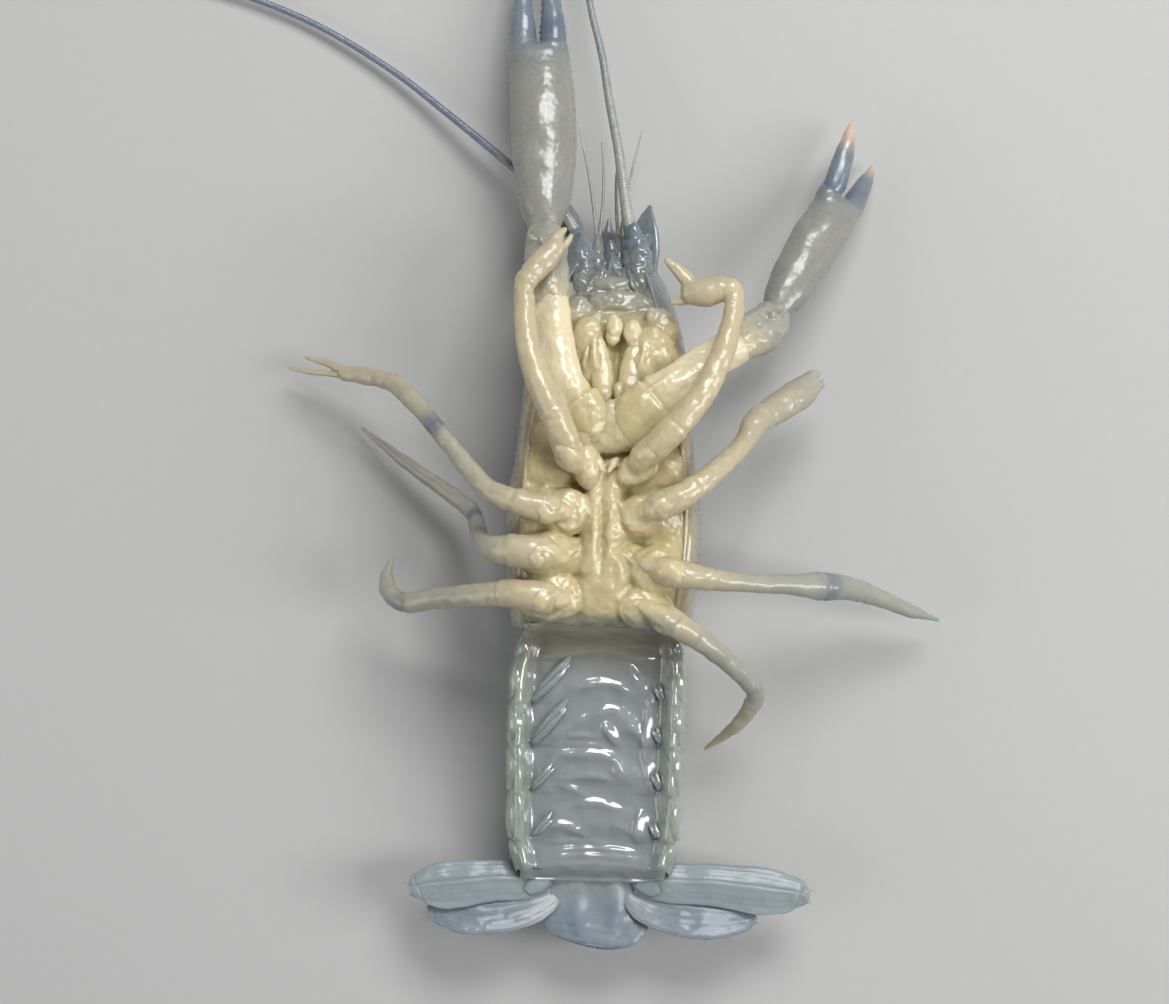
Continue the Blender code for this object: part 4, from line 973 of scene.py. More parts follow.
def bristles(points, leans, reach, kind, spacing, thick=1.0, turn=0):
    """Bristles on a line, each along its own lean; turn sets off another random draw."""
    sizes = bpy.context.scene.crayfish_sizes
    line = line_mesh("bristle_line", points, lean=leans, reach=[reach] * len(points))
    return grown("bristles", line, "fringe", finish(kind), Spacing=spacing, Length=sizes.bristle / MM,
                 Radius=sizes.bristle_radius / MM * thick, Seed=sizes.seed + turn)


# The round end of a limb, from its pole: the angle up from its last ring, and the share of its width.
DOME = ((78, 0.2), (55, 0.57), (30, 0.87))


def tube(form, path, steps, sides, power=1.0, relief=None, **values):
    """Adds a skin along the whole of a path."""
    form.skin([path.ring(t, 1, sides, power, relief) for t in spaced(0, path.end, steps)], **values)


def limb(form, path, joints, sides=20, step=0.2, power=1.0, relief=None, pinch=0.08, swollen=0.05,
         full=1.0, taper=1.0, **rules):
    """A limb as one skin with round ends, drawn in at each joint and a little swollen before it."""
    marks = [path.length(joint) for joint in joints[1:-1]]
    start, end = path.length(joints[0]), path.length(joints[-1])
    count = max(6, round((end - start) / step))
    rows = []
    for far in spaced(start, end, count):
        scale = 1 + sum(swollen * swell(far, mark - 0.34, 0.28) - pinch * swell(far, mark, 0.13)
                        for mark in marks)
        scale *= taper + (1 - taper) * ease(far - start, 0, 1.8)
        rows.append((path.t_at(far), scale * full, 0.0))
    for t, sign, slim in ((rows[0][0], -1, taper), (rows[-1][0], 1, 1)):
        thick = path.size(t)[1] * 0.8
        dome = [(t, share * full * slim, sign * thick * math.sin(math.radians(angle)))
                for angle, share in DOME]
        rows = dome + rows if sign < 0 else rows + dome[::-1]
    form.skin([path.ring(t, scale, sides, power, relief, push) for t, scale, push in rows],
              **{name: [rule(t) for t, _, _ in rows] for name, rule in rules.items()})


def lump(form, x, y, z, long, wide, tall, turn):
    """A rounded lump, long along a line that is turned by so many degrees from +X."""
    c, s = math.cos(math.radians(turn)), math.sin(math.radians(turn))
    rings = []
    for i in range(13):
        a = math.radians(14 * (i - 6))
        run, size = long * math.sin(a), math.cos(a)
        ring = []
        for k in range(20):
            b = math.pi * k / 10
            off = wide * size * math.cos(b)
            ring.append((x + run * c - off * s, y + run * s + off * c, z + tall * size * math.sin(b)))
        rings.append(ring)
    form.skin(rings)


def lump_top(rows, x, y):
    """The height of the highest of some lumps at (x, y), or nothing where there is none."""
    tops = [0.0]
    for at_x, at_y, z, long, wide, tall, turn in rows:
        c, s = math.cos(math.radians(turn)), math.sin(math.radians(turn))
        dx, dy = x - at_x, y - at_y
        far = ((dx * c + dy * s) / long) ** 2 + ((dy * c - dx * s) / wide) ** 2
        if far < 1:
            tops.append(z + tall * math.sqrt(1 - far))
    return max(tops)


def fold(form, points, radius, sides=10, **values):
    """A soft fold or ridge through points, thinnest at its ends."""
    path = Path([(*p, radius * (0.35 + 0.65 * math.sin(math.pi * i / (len(points) - 1))))
                 for i, p in enumerate(points)])
    tube(form, path, path.end * 8, sides, **values)


def arc(x, y, radius, start, end):
    """Seven points along an arc from start to end, in degrees from +X."""
    turns = [math.radians(turn) for turn in spaced(start, end, 6)]
    return [(x + radius * math.cos(a), y + radius * math.sin(a)) for a in turns]


def spine(form, foot, point, radius, sides=10, **values):
    """A horn-like spine that tapers from its foot to its point."""
    foot, point = Vector(foot), Vector(point)
    rows = [(*foot.lerp(point, s), max(radius * (1 - s) ** 0.7, 0.02)) for s in (0, 0.25, 0.5, 0.75, 1)]
    tube(form, Path(rows, up=(0.3, 0.2, 1)), 10, sides, **values)


def neck(z):
    """Where the neck groove runs at height z."""
    return NECK_Y + NECK_LEAN * z


def shield_knots(y):
    """One side of the shield's section at y, from the middle of the back to the middle of the chest."""
    lip = bpy.context.scene.crayfish_sizes.lip / MM
    wide, back, widest = smooth(HALF_WIDTH, y), smooth(BACK_Z, y), smooth(WIDEST_Z, y)
    margin_x, margin_z, floor = smooth(MARGIN_X, y), smooth(MARGIN_Z, y), smooth(FLOOR_Z, y)
    knots = []
    for k in range(9):
        a = math.pi / 2 * k / 8
        knots.append((wide * math.sin(a) ** SHIELD_POWER,
                      widest - (widest - back) * math.cos(a) ** SHIELD_POWER))
    knots[1] = (wide * FLAT_SHARE, back)
    for k in (1, 2):
        a = math.pi / 2 * k / 3
        knots.append((margin_x + (wide - margin_x) * math.cos(a),
                      widest + (margin_z - widest) * math.sin(a)))
    knots += [(margin_x + lip * 0.8, margin_z - lip * 1.6), (margin_x + lip * 0.5, margin_z - lip * 0.4),
              (margin_x - lip * 0.2, margin_z), (margin_x - lip * 0.9, margin_z - lip * 0.5),
              (margin_x - lip * 1.3, floor - 0.35), (margin_x - 0.75, floor - 0.45),
              (margin_x - 1.2, floor - 0.8), (margin_x * 0.6, floor - 1), (margin_x * 0.4, floor - 1),
              (margin_x * 0.2, floor - 1), (0, floor - 1)]
    return knots


def shield_ring(y_at, groove=0.0, shrink=1.0):
    """A ring of the shield whose y at height z is y_at(z), with a groove cut round its outside."""
    rough = shield_knots(y_at(5))
    half = []
    for i in range((len(rough) - 1) * SHIELD_TURNS + 1):
        t = i / SHIELD_TURNS
        y = y_at(through(rough, t)[1])
        x, z = through(shield_knots(y), t)
        above = z - SHIELD_MIDDLE_Z
        cut = 1 - groove * (1 - ease(t, 9.5, 11.5)) / (math.hypot(x, above) or 1)
        half.append((x * cut * shrink, y, SHIELD_MIDDLE_Z + above * cut * shrink))
    return half + [(-x, y, z) for x, y, z in half[-2:0:-1]]


def shield_tint(p):
    """Pale and clear near the margin, blue-grey on the lower sides, the back and round the face."""
    _, y, z = p
    side = 1 - ease(z, 1.8, 6.5)
    margin = 0.25 * swell(z, smooth(MARGIN_Z, y) - 1.6, 1.0)
    return max(side, margin, 0.85 * ease(y, 12.0, 16.0), 0.4 * ease(-y, 8.6, 9.8))


class PieceOperator:
    """What the operators share: they can be undone, and stop the script when they can't finish."""

    bl_options = {"REGISTER", "UNDO"}

    def execute(self, context):
        self.build(context.scene.crayfish_sizes)
        return {"FINISHED"}


class CRAYFISH_OT_shield(PieceOperator, bpy.types.Operator):
    """Builds the shield over head and chest, with its beak and granules"""

    bl_idname = "crayfish.shield"
    bl_label = "Shield"

    def build(self, sizes):
        mesh = mesh_of("carapace", self.carapace())
        roughen(mesh, (0.10, 1.1), where=lambda p: 1 if p.z > 1.2 else 0.25)
        roughen(mesh, (0.03, 0.8))
        granules_on("shield_granules", mesh, "shield",
                    lambda p, n: (1 - ease(p.z, 1.5, 3.2)) if p.z > 0.6 and p.y < 16.6 else 0.0)
        finished("carapace", mesh, "shield", ("thorax", "head"))
        finished("beak", mesh_of("beak", self.beak()), "shield")

    def carapace(self):
        """The shield as one skin, with the neck groove between its two parts."""
        rings = [shield_ring(lambda z: REAR_Y + 0.05, shrink=0.93)]
        for s in spaced(0, 1, 46)[:-1]:
            rings.append(shield_ring(lambda z: REAR_Y * (1 - s) + neck(z) * s, 0.3 * swell(s, 1, 0.035)))
        for s in spaced(0, 1, 38):
            rings.append(shield_ring(lambda z: neck(z) * (1 - s) + FACE_Y * s, 0.3 * swell(s, 0, 0.05),
                                     1 - 0.05 * ease(s, 0.94, 1)))
        rings.append(shield_ring(lambda z: FACE_Y + 0.12, shrink=0.85))
        rings.append(shield_ring(lambda z: FACE_Y + 0.15, shrink=0.5))
        form = Form()
        form.skin(rings)
        form.colour(tint=shield_tint)
        return form

    def beak(self):
        """The beak with its side spines, and the ridges that run back from it."""
        form = Form()
        path = Path([(0, y, BEAK_Z, wide, 0.42 if wide > 0.5 else wide) for y, wide in BEAK])
        tube(form, path, 44, 28, 0.75, lambda a: 1 - 0.25 * swell(math.sin(a), -1, 0.35), tint=0.9)
        for sign in SIDES.values():
            for x, y in BEAK_SPINES:
                spine(form, (sign * (x - 0.35), y - 0.3, BEAK_Z), (sign * (x + 0.02), y + 0.45, BEAK_Z),
                      0.24, tint=0.9)
            tube(form, Path(beside(BEAK_RIDGE, sign)), 16, 12, tint=1.0)
        return form


def soft_floor(x, y):
    """Height of the soft underside between the shield's margins, from the tail to the face."""
    edge = smooth(MARGIN_X, y) + 0.1
    side, level = smooth(MARGIN_Z, y) - 0.1, smooth(SOFT_Z, y)
    z = level + (side - level) * ease(abs(x) / edge, 0.7, 0.95)
    keel = smooth(KEEL, y) if y < KEEL[-1][0] else 0.3
    z += (0.55 * (1 - ease(abs(x), keel * 0.75, keel + 0.7)) * (1 - ease(y, 2.0, 3.4))
          * ease(y, -9.6, -8.6))
    z -= 0.40 * swell(x + 0.12, 0, 0.17) * swell(y, -2.4, 2.8)
    z += 0.22 * swell(abs(x + 0.12), 0.62, 0.2) * swell(y, -2.4, 3.2)
    for hollow_x, hollow_y, wide, long, deep in HOLLOWS:
        z -= deep * math.exp(-(((x - hollow_x) / wide) ** 2 + ((y - hollow_y) / long) ** 2))
    return z


def soft_ring(y, wide, low, across, height):
    """A ring of a soft skin at y: height(x) gives its top, and its hidden underside lies at low."""
    places = [wide * (2 * k / across - 1) for k in range(across + 1)]
    top = [(x, y, height(x)) for x in places]
    return top + [(wide * 0.9, y, low), (0, y, low), (-wide * 0.9, y, low)]


def underside_form():
    """The soft underside in the making: its floor, the hips, the roots of the legs and the folds."""
    form = Form()
    rings = []
    for y in spaced(SOFT_Z[0][0], SOFT_Z[-1][0], 120):
        low = smooth(FLOOR_Z, y) - 0.9
        rings.append(soft_ring(y, smooth(MARGIN_X, y) + 0.1, low, 64,
                               lambda x: max(soft_floor(x, y), low + 0.1)))
    form.skin(rings)
    lumps = HIP_LUMPS + CHEEKS
    for row in lumps:
        lump(form, *row)
    folds = CHEST_FOLDS + [(arc(x, y, radius, start, end), thick)
                           for x, y, radius, start, end, thick in HIP_FOLDS]
    for points, radius, *lift in folds:
        rows = [(x, y, soft_floor(x, y) + lift[0] if lift
                 else max(soft_floor(x, y), lump_top(lumps, x, y)) - radius * 0.3) for x, y in points]
        fold(form, rows, radius)
    for (_, number), stations in LEGS.items():
        limb(form, Path(stations), (0.3 if number > 2 else 0.0, ROOT_END), full=1.03, taper=0.55)
    return form


class CRAYFISH_OT_underside(PieceOperator, bpy.types.Operator):
    """Builds the soft underside: keel, hips, leg roots and cheeks, grown into one another"""

    bl_idname = "crayfish.underside"
    bl_label = "Underside"

    def build(self, sizes):
        mesh = melted("underside", underside_form(), voxel=0.11, rounds=6)
        roughen(mesh, (0.14, 1.0), (0.05, 0.4))

        # Painted shade: olive goes into the recesses that sink below the soft floor's level.
        def hollow(p):
            level = smooth(SOFT_Z, p.y)
            inside = 1 - ease(abs(p.x), smooth(MARGIN_X, p.y) - 2.2, smooth(MARGIN_X, p.y) - 1.0)
            return (1 - ease(p.z, level - 0.55, level + 0.25)) * inside

        # Painted shade: olive goes into the channel between the jaws.
        def channel(p):
            return swell(p.x, 0.72, 0.55) * ease(p.y, 7.6, 9.4) * (1 - ease(p.y, 12.4, 13.4))

        # Where olive goes: painted shade in the hollows, along the middle groove of the keel and in the
        # channel between the jaws, and the rear of the chest.
        def spot(p):
            line = 0.7 * swell(p.x + 0.12, 0, 0.16) * swell(p.y, -2.4, 2.6)
            return max(0.75 * hollow(p), line, 0.95 * channel(p), 0.6 * ease(-p.y, 7.6, 9.6))

        coloured(mesh, spot=spot, tip=lambda p: max(0.9 * ease(p.y, 12.6, 15.4),
                                                    0.8 * ease(-p.y, 7.9, 9.5)),
                 tint=lambda p: 0.9 * ease(p.z, smooth(SOFT_Z, p.y) + 0.1, smooth(SOFT_Z, p.y) + 1.4))
        finished("underside", mesh, "cream", ("breastplate",))


class CRAYFISH_OT_mouth(PieceOperator, bpy.types.Operator):
    """Builds the jaws and the foot jaws beside them"""

    bl_idname = "crayfish.mouth"
    bl_label = "Mouth"

    def build(self, sizes):
        for side, sign in SIDES.items():
            self.jaw(side, sign)
            self.foot_jaw(side, sign)

    def jaw(self, side, sign):
        """A pale biting jaw with a few low teeth towards its partner."""
        x, y, z = JAW_X + sign * 0.7, 12.85 - sign * 0.2, 11.0
        jaw = Form()
        lump(jaw, x, y, z, 0.95, 0.66 + 0.04 * sign, 0.62, 90 - sign * 6)
        lump(jaw, x + sign * 0.1, y - 0.7, z - 0.1, 0.8, 0.55, 0.5, 90)
        lump(jaw, x - sign * 0.1, y + 0.3, z + 0.35, 0.4, 0.3, 0.3, 60)
        lump(jaw, x + sign * 0.15, y - 0.4, z + 0.35, 0.35, 0.28, 0.28, 120)
        for k in range(4):
            place = y + 0.55 - 0.32 * k
            spine(jaw, (x - sign * 0.45, place, z - 0.1), (x - sign * 0.68, place, z - 0.08), 0.13, 8)
        mesh = melted("jaw", jaw, voxel=0.07, rounds=5)
        roughen(mesh, (0.09, 0.5))
        # Olive low down on each jaw is painted shade where it sinks into the mouth.
        coloured(mesh, tint=lambda p: 0.7, spot=lambda p: 0.35 * (1 - ease(p.z, 10.8, 11.3)))
        finished(f"jaw_{side}_teeth", mesh, "arm", (f"jaw_{side}",))

    def foot_jaw(self, side, sign):
        """A short limb of soft lengths that lies beside the mouth, with bristles on its inner edge."""
        form = Form()
        path = Path(beside(FOOT_JAW, sign, MOUTH_X))
        limb(form, path, (0, 1, 3, 4.1, 5.1, 6), step=0.14, power=0.9, tint=lambda t: 0.4 + 0.1 * t)
        limb(form, Path(beside(PALP, sign, MOUTH_X)), (0, 1.6, 2.9, 4), step=0.14, tint=lambda t: 0.6)
        mesh = mesh_of("foot_jaw", form)
        roughen(mesh, (0.06, 0.5))
        finished(f"foot_jaw_{side}_limb", mesh, "cream", (f"foot_jaw_{side}",))
        edge = [path.at(t) + path.frame(t)[2] * (sign * 0.8 * path.size(t)[0])
                for t in spaced(1, 5.6, 24)]
        leans = [Vector((-sign * 0.8, 0.5, 0.1))] * len(edge)
        hairs = bristles(edge, leans, 0.32, "cream", 0.16, 0.7)
        finished(f"foot_jaw_{side}_bristles", hairs, "cream")


def leg_rules(side, number):
    """How a leg's colours run along it: t is counted in its stations."""
    joints, knee_tint, tip_tint, knee_blue = JOINTS[(side, number)]
    knee, last = joints[3], joints[-1]

    def tint(t):
        if t < knee:
            return knee_tint * ease(t, 0.8, knee * 0.8)
        return knee_tint + (tip_tint - knee_tint) * (t - knee) / (last - knee)

    def spot(t):
        return knee_blue * swell(t, knee + 0.15, 0.32)

    def tip(t):
        return 0.9 * ease(t, last - 1.2, last) if (side, number) == ("left", 4) else 0.0

    return {"tint": tint, "spot": spot, "tip": tip}


class CRAYFISH_OT_legs(PieceOperator, bpy.types.Operator):
    """Builds the eight walking legs, four of them with small pincers"""

    bl_idname = "crayfish.legs"
    bl_label = "Walking legs"

    def build(self, sizes):
        flat = lambda a: 1 + 0.035 * math.cos(2 * a + 0.6) - 0.04 * swell(math.sin(a), 1, 0.3)
        for (side, number), stations in LEGS.items():
            name = f"leg_{number}_{side}"
            path = Path(stations)
            joints = JOINTS[(side, number)][0]
            rules = leg_rules(side, number)
            form = Form()
            limb(form, path, (ROOT_END - 0.25, *joints[2:]), relief=flat, step=0.16, sides=22, **rules)
            if (side, number) in PINCERS:
                mesh = self.pincer(PINCERS[(side, number)], path, form, rules)
            else:
                mesh = mesh_of(name, form)
            roughen(mesh, (0.08, 0.9), (0.025, 0.3))
            finished(name, mesh, "limb", (f"{name}_upper", f"{name}_lower"))
            finished(f"{name}_bristles", self.hairs(path, number), "limb")

    def pincer(self, points, path, form, rules):
        """The leg grown into its palm and fixed finger, with the moving finger beside it."""
        fixed, moving = (Vector(p) for p in points)
        wrist, along = path.at(path.end), path.frame(path.end)[0]
        apart = (moving - fixed).normalized()
        wide = path.size(path.end)[0]
        foot = wrist - along * wide * 0.4 - apart * wide * 0.35
        self.finger(form, foot, foot.lerp(fixed, 0.55) - apart * 0.1, fixed, wide * 0.62)
        whole = melted("leg", form, voxel=0.1, rounds=3)
        nearest = path.nearest()
        coloured(whole, **{name: lambda p, rule=rule: rule(nearest(p)) for name, rule in rules.items()})
        beside = Form()
        foot = wrist + along * 0.02 + apart * (wide * 0.42)
        self.finger(beside, foot, foot.lerp(moving, 0.5) + apart * 0.12, moving, wide * 0.45,
                    tint=rules["tint"](path.end))
        return joined("leg", [whole, mesh_of("finger", beside)])

    def finger(self, form, foot, middle, point, radius, **values):
        """A slim finger from foot to point, past a middle that bows it."""
        line = Path([(*foot, radius * 0.85), (*foot.lerp(middle, 0.45), radius),
                     (*middle, radius * 0.8), (*point.lerp(middle, 0.22), radius * 0.45),
                     (*point, radius * 0.12)])
        tube(form, line, 24, 16, **values)

    def hairs(self, path, number):
        """Sparse short bristles along the outer lengths of a leg, on four lines round it."""
        meshes = []
        end = path.end - (0.4 if number in (4, 5) else 0.9)
        for turn in (0.7, 2.4, 3.9, 5.4):
            points, leans = [], []
            for t in spaced(end - 2.2, end, 16):
                along, normal, across = path.frame(t)
                out = across * math.cos(turn) + normal * math.sin(turn)
                points.append(path.at(t) + out * path.size(t)[0] * 0.9)
                leans.append((out + along * 1.4).normalized())
            meshes.append(bristles(points, leans, 0.3, "limb", 0.45, 0.7, int(turn * 10)))
        return joined("bristles", meshes)


class CRAYFISH_OT_claws(PieceOperator, bpy.types.Operator):
    """Builds both claws with their arms, wrists, palms, fingers and teeth"""

    bl_idname = "crayfish.claws"
    bl_label = "Claws"

    def build(self, sizes):
        keel = lambda a: 1 - 0.05 * swell(math.sin(a), 0.8, 0.25) + 0.03 * math.cos(3 * a)
        for side, sign in SIDES.items():
            self.arm(side, sign, keel)
            self.wrist(side, sign, keel)
            self.hand(side)

    def arm(self, side, sign, keel):
        """The upper arm, broad and flat at its root, with three low spines on its outer edge."""
        form = Form()
        path = Path(ARMS[side][0])
        limb(form, path, (0, 2.4, 5), sides=30, step=0.16, relief=keel, pinch=0.16, swollen=0.06)
        for points, radius in ARM_FOLDS[side]:
            fold(form, points, radius, tint=0.9)
        for t in (3.2, 3.75, 4.3):
            place = path.at(t)
            _, normal, across = path.frame(t)
            outward = across * sign
            spine(form, place + outward * 1.1 + normal * 0.2, place + outward * 1.5 + normal * 0.25,
                  0.2, tint=1.0)
        mesh = melted("arm", form, voxel=0.11, rounds=3)
        nearest = path.nearest()
        coloured(mesh, tint=lambda p: 0.15 + 0.85 * ease(nearest(p), 1.8, 3.4),
                 spot=lambda p: 0.25 * (1 - ease(nearest(p), 0.6, 2.6)))
        roughen(mesh, (0.14, 1.2), (0.04, 0.4))
        finished(f"claw_{side}_upper_arm", mesh, "arm", (f"claw_{side}_arm",))

    def wrist(self, side, sign, keel):
        """The short wrist, with one strong spine and a few knobs."""
        form = Form()
        path = Path(ARMS[side][1])
        limb(form, path, (0, 3), sides=30, step=0.16, relief=keel)
        middle = Vector(ARMS[side][1][2][:3])
        spine(form, middle + Vector((sign * 0.9, 0.8, 0.45)), middle + Vector((sign * 1.45, 1.4, 0.8)),
              0.4)
        for dx, dy, dz in ((-0.6, 0.5, 1.0), (0.4, 0.8, 1.1), (0.9, -0.3, 1.0), (-1.1, 0.9, 0.4)):
            lump(form, middle.x + sign * dx, middle.y + dy, middle.z + dz, 0.42, 0.3, 0.3, 70 * sign)
        mesh = melted("wrist", form, voxel=0.09, rounds=3)
        base = path.at(0)
        coloured(mesh, tint=lambda p: ease((p - base).length, 0.2, 3.0) * 0.95)
        roughen(mesh, (0.16, 0.8), (0.04, 0.3))
        finished(f"claw_{side}_wrist_joint", mesh, "limb", (f"claw_{side}_wrist",))

    def hand(self, side):
        """The palm grown into its fixed finger, and the moving finger set in its socket."""
        palm, fixed, moving = (Path(rows) for rows in CLAWS[side])
        root, point = moving.at(0), moving.at(moving.end)
        reach, axis = (point - root).length, (point - root).normalized()
        share = lambda p: (Vector(p) - root).dot(axis) / reach
        rules = {"tint": lambda p: ease(share(p), -0.35, 0.3),
                 "spot": lambda p: 0.45 * swell(share(p), 0.13, 0.14),
                 "tip": lambda p: 0.9 * ease(share(p), 0.5, 0.9)}
        mesh = self.palm(palm, fixed, moving)
        far = share(fixed.at(fixed.end))
        joint = moving.at(0.6)
        coloured(mesh, tint=rules["tint"], tip=lambda p: 0.8 * ease(share(p) / far, 0.6, 1.0),
                 spot=lambda p: rules["spot"](p) * (0.2 + 0.8 * ease((p - joint).length, 3.2, 0.6)))
        roughen(mesh, (0.12, 1.6), (0.015, 0.35))
        granules_on(f"claw_{side}_granules", mesh, "claw",
                    lambda p, n: 0.9 * ease(-0.35 - n.z, 0, 0.5), density=1.2, radius=1.1)
        finished(f"claw_{side}_palm", mesh, "claw", (f"claw_{side}_hand",))
        form = Form()
        pinch = lambda t: 0.85 + 0.15 * ease(t, 0, 0.3) - 0.05 * swell(t, 0.42, 0.08)
        form.skin([moving.ring(t, pinch(t), 24, 0.92) for t in spaced(0, moving.end, 46)])
        self.teeth(form, moving, fixed, 0.8)
        form.colour(**rules)
        mesh = mesh_of("finger", form)
        roughen(mesh, (0.07, 0.9))
        finished(f"claw_{side}_moving_finger", mesh, "claw", (f"claw_{side}_finger",))

    def palm(self, palm, fixed, moving):
        """The palm, the fixed finger and the socket of the moving one, melted together."""
        form = Form()
        limb(form, palm, (0, palm.end), sides=32, step=0.2)
        tube(form, fixed, 40, 22, 0.92)
        root, along = moving.at(0), moving.frame(0)[0]
        wide, thick = moving.size(0.5)
        socket = Path([(*(root - along * 1.6), wide * 0.9, thick),
                       (*(root - along * 0.5), wide * 1.12, thick * 1.1),
                       (*(root + along * 0.25), wide * 1.16, thick * 1.1)])
        limb(form, socket, (0, 2), sides=24, step=0.14)
        self.teeth(form, fixed, moving, 0.9)
        return melted("hand", form, voxel=0.1, rounds=7)

    def teeth(self, form, path, other, start):
        """A row of low teeth along the side of a finger that faces the other finger."""
        for k, t in enumerate(spaced(start, path.end - 0.35, 13)):
            place = path.at(t)
            gap = other.at(min(t, other.end)) - place
            along, _, _ = path.frame(t)
            out = (gap - along * gap.dot(along)).normalized()
            wide = path.size(t)[0]
            height = 0.26 if k % 3 == 1 else 0.16
            spine(form, place + out * wide * 0.75, place + out * (wide + height * 0.5),
                  0.15 + height / 4, 8)


class CRAYFISH_OT_face(PieceOperator, bpy.types.Operator):
    """Builds the muzzle with the stems of the feelers, the eyes, the blades and the small feelers"""

    bl_idname = "crayfish.face"
    bl_label = "Face"

    def build(self, sizes):
        self.muzzle()
        for side, sign in SIDES.items():
            self.eye(side, sign)
            self.small_feelers(side, sign)
            self.blade(side, sign, sizes.bristle_gap / MM * 1.5)

    def muzzle(self):
        """The soft front of the head, grown together with the stems of the long feelers."""
        form = Form()
        for row in MUZZLE:
            lump(form, *row)
        for stations in FEELER_STEMS.values():
            root = stations[0]
            path = Path([(root[0] * 0.9, root[1] - 1.9, root[2] + 0.2, root[3]), *stations])
            limb(form, path, (0, 1.1, 2.2, 3.1, path.end), step=0.14, sides=24,
                 relief=lambda a: 1 + 0.05 * math.cos(3 * a))
        for points, radius in MUZZLE_FOLDS:
            fold(form, points, radius)
        mesh = melted("muzzle", form, voxel=0.09, rounds=3)
        roughen(mesh, (0.16, 0.7), (0.05, 0.3))
        coloured(mesh, tint=lambda p: 0.8 * ease(p.y, 15.5, 19.5),
                 spot=lambda p: (0.3 if p.x > 0 else 0.15) * ease(p.y, 18.4, 20.6))
        finished("muzzle", mesh, "face", ("feeler_left_stem", "feeler_right_stem"))

    def eye(self, side, sign):
        """A dark eye on its short stalk."""
        stalk = Form()
        tube(stalk, Path(beside(EYE_STALK, sign)), 16, 22, tint=0.9)
        finished(f"eye_{side}_stalk", mesh_of("stalk", stalk), "limb")
        ball = Form()
        tube(ball, Path(beside(EYE_BALL, sign)), 26, 26)
        finished(f"eye_{side}_ball", mesh_of("ball", ball), "eye", (f"eye_{side}",))

    def small_feelers(self, side, sign):
        """The stem of the small feelers with its two ringed whips."""
        stem = Form()
        limb(stem, Path(beside(SMALL_STEM, sign)), (0, 1.2, 2.1, 3), step=0.12, sides=18,
             tint=lambda t: 0.3)
        meshes = [mesh_of("stem", stem)]
        meshes += [whip(Path(beside(points, sign)), 0.18, 0.35) for points in SMALL_WHIPS]
        finished(f"small_feelers_{side}_rings", joined("small", meshes), "feeler",
                 (f"small_feelers_{side}",))

    def blade(self, side, sign, spacing):
        """The flat pointed scale beside a feeler's stem, with bristles on its inner edge."""
        form = Form()
        path = Path(beside(BLADE, sign), up=(-0.45 * sign, 0, 1))
        rib = lambda a: 1 + 0.5 * swell(math.cos(a) * sign, 0.8, 0.12)
        tube(form, path, 30, 30, 0.75, rib, tint=0.9)
        finished(f"feeler_{side}_blade", mesh_of("blade", form), "face",
                 (f"feeler_scale_{side}",))
        points = [path.at(t) + path.frame(t)[2] * (-sign) * path.size(t)[0] * 0.95
                  for t in spaced(0.6, 3.8, 20)]
        hairs = bristles(points, [Vector((-sign * 0.8, 0.7, 0))] * 21, 0.5, "bristle", spacing, turn=1)
        finished(f"feeler_{side}_blade_bristles", hairs, "bristle")


def whip(path, ring, dark=1.0):
    """A feeler of many short rings along a path, palest at its root."""
    places = spaced(0, path.end, path.end * 14)
    line = line_mesh("whip_line", [path.at(t) for t in places], thick=[path.size(t)[0] for t in places],
                     tint=[dark * ease(t, 0, path.end * 0.5) for t in places])
    return grown("whip", line, "feeler", finish("feeler"), Ring=ring, Depth=0.17)


class CRAYFISH_OT_feelers(PieceOperator, bpy.types.Operator):
    """Builds the two long feelers of many short rings"""

    bl_idname = "crayfish.feelers"
    bl_label = "Long feelers"

    def build(self, sizes):
        for side, points in FEELERS.items():
            mesh = whip(Path(points), sizes.ring / MM, dark=0.5 if side == "left" else 1.0)
            finished(f"feeler_{side}_whip", mesh, "feeler",
                     (f"feeler_{side}_near", f"feeler_{side}_far"))


def bent(p):
    """Where a point of the straight tail lies once the tail curls up behind BEND_Y."""
    x, y, z = p
    x += TAIL_SHIFT * min(1.0, (REAR_Y - y) / 6)
    run = BEND_Y - y
    if run <= 0:
        return Vector((x, y, z))
    radius = BEND_RUN / BEND_ANGLE
    angle = min(run, BEND_RUN) / radius
    past = max(0.0, run - BEND_RUN)
    inner = radius - (z - BEND_Z)
    return Vector((x, BEND_Y - inner * math.sin(angle) - past * math.cos(angle),
                   BEND_Z + radius - inner * math.cos(angle) + past * math.sin(angle)))


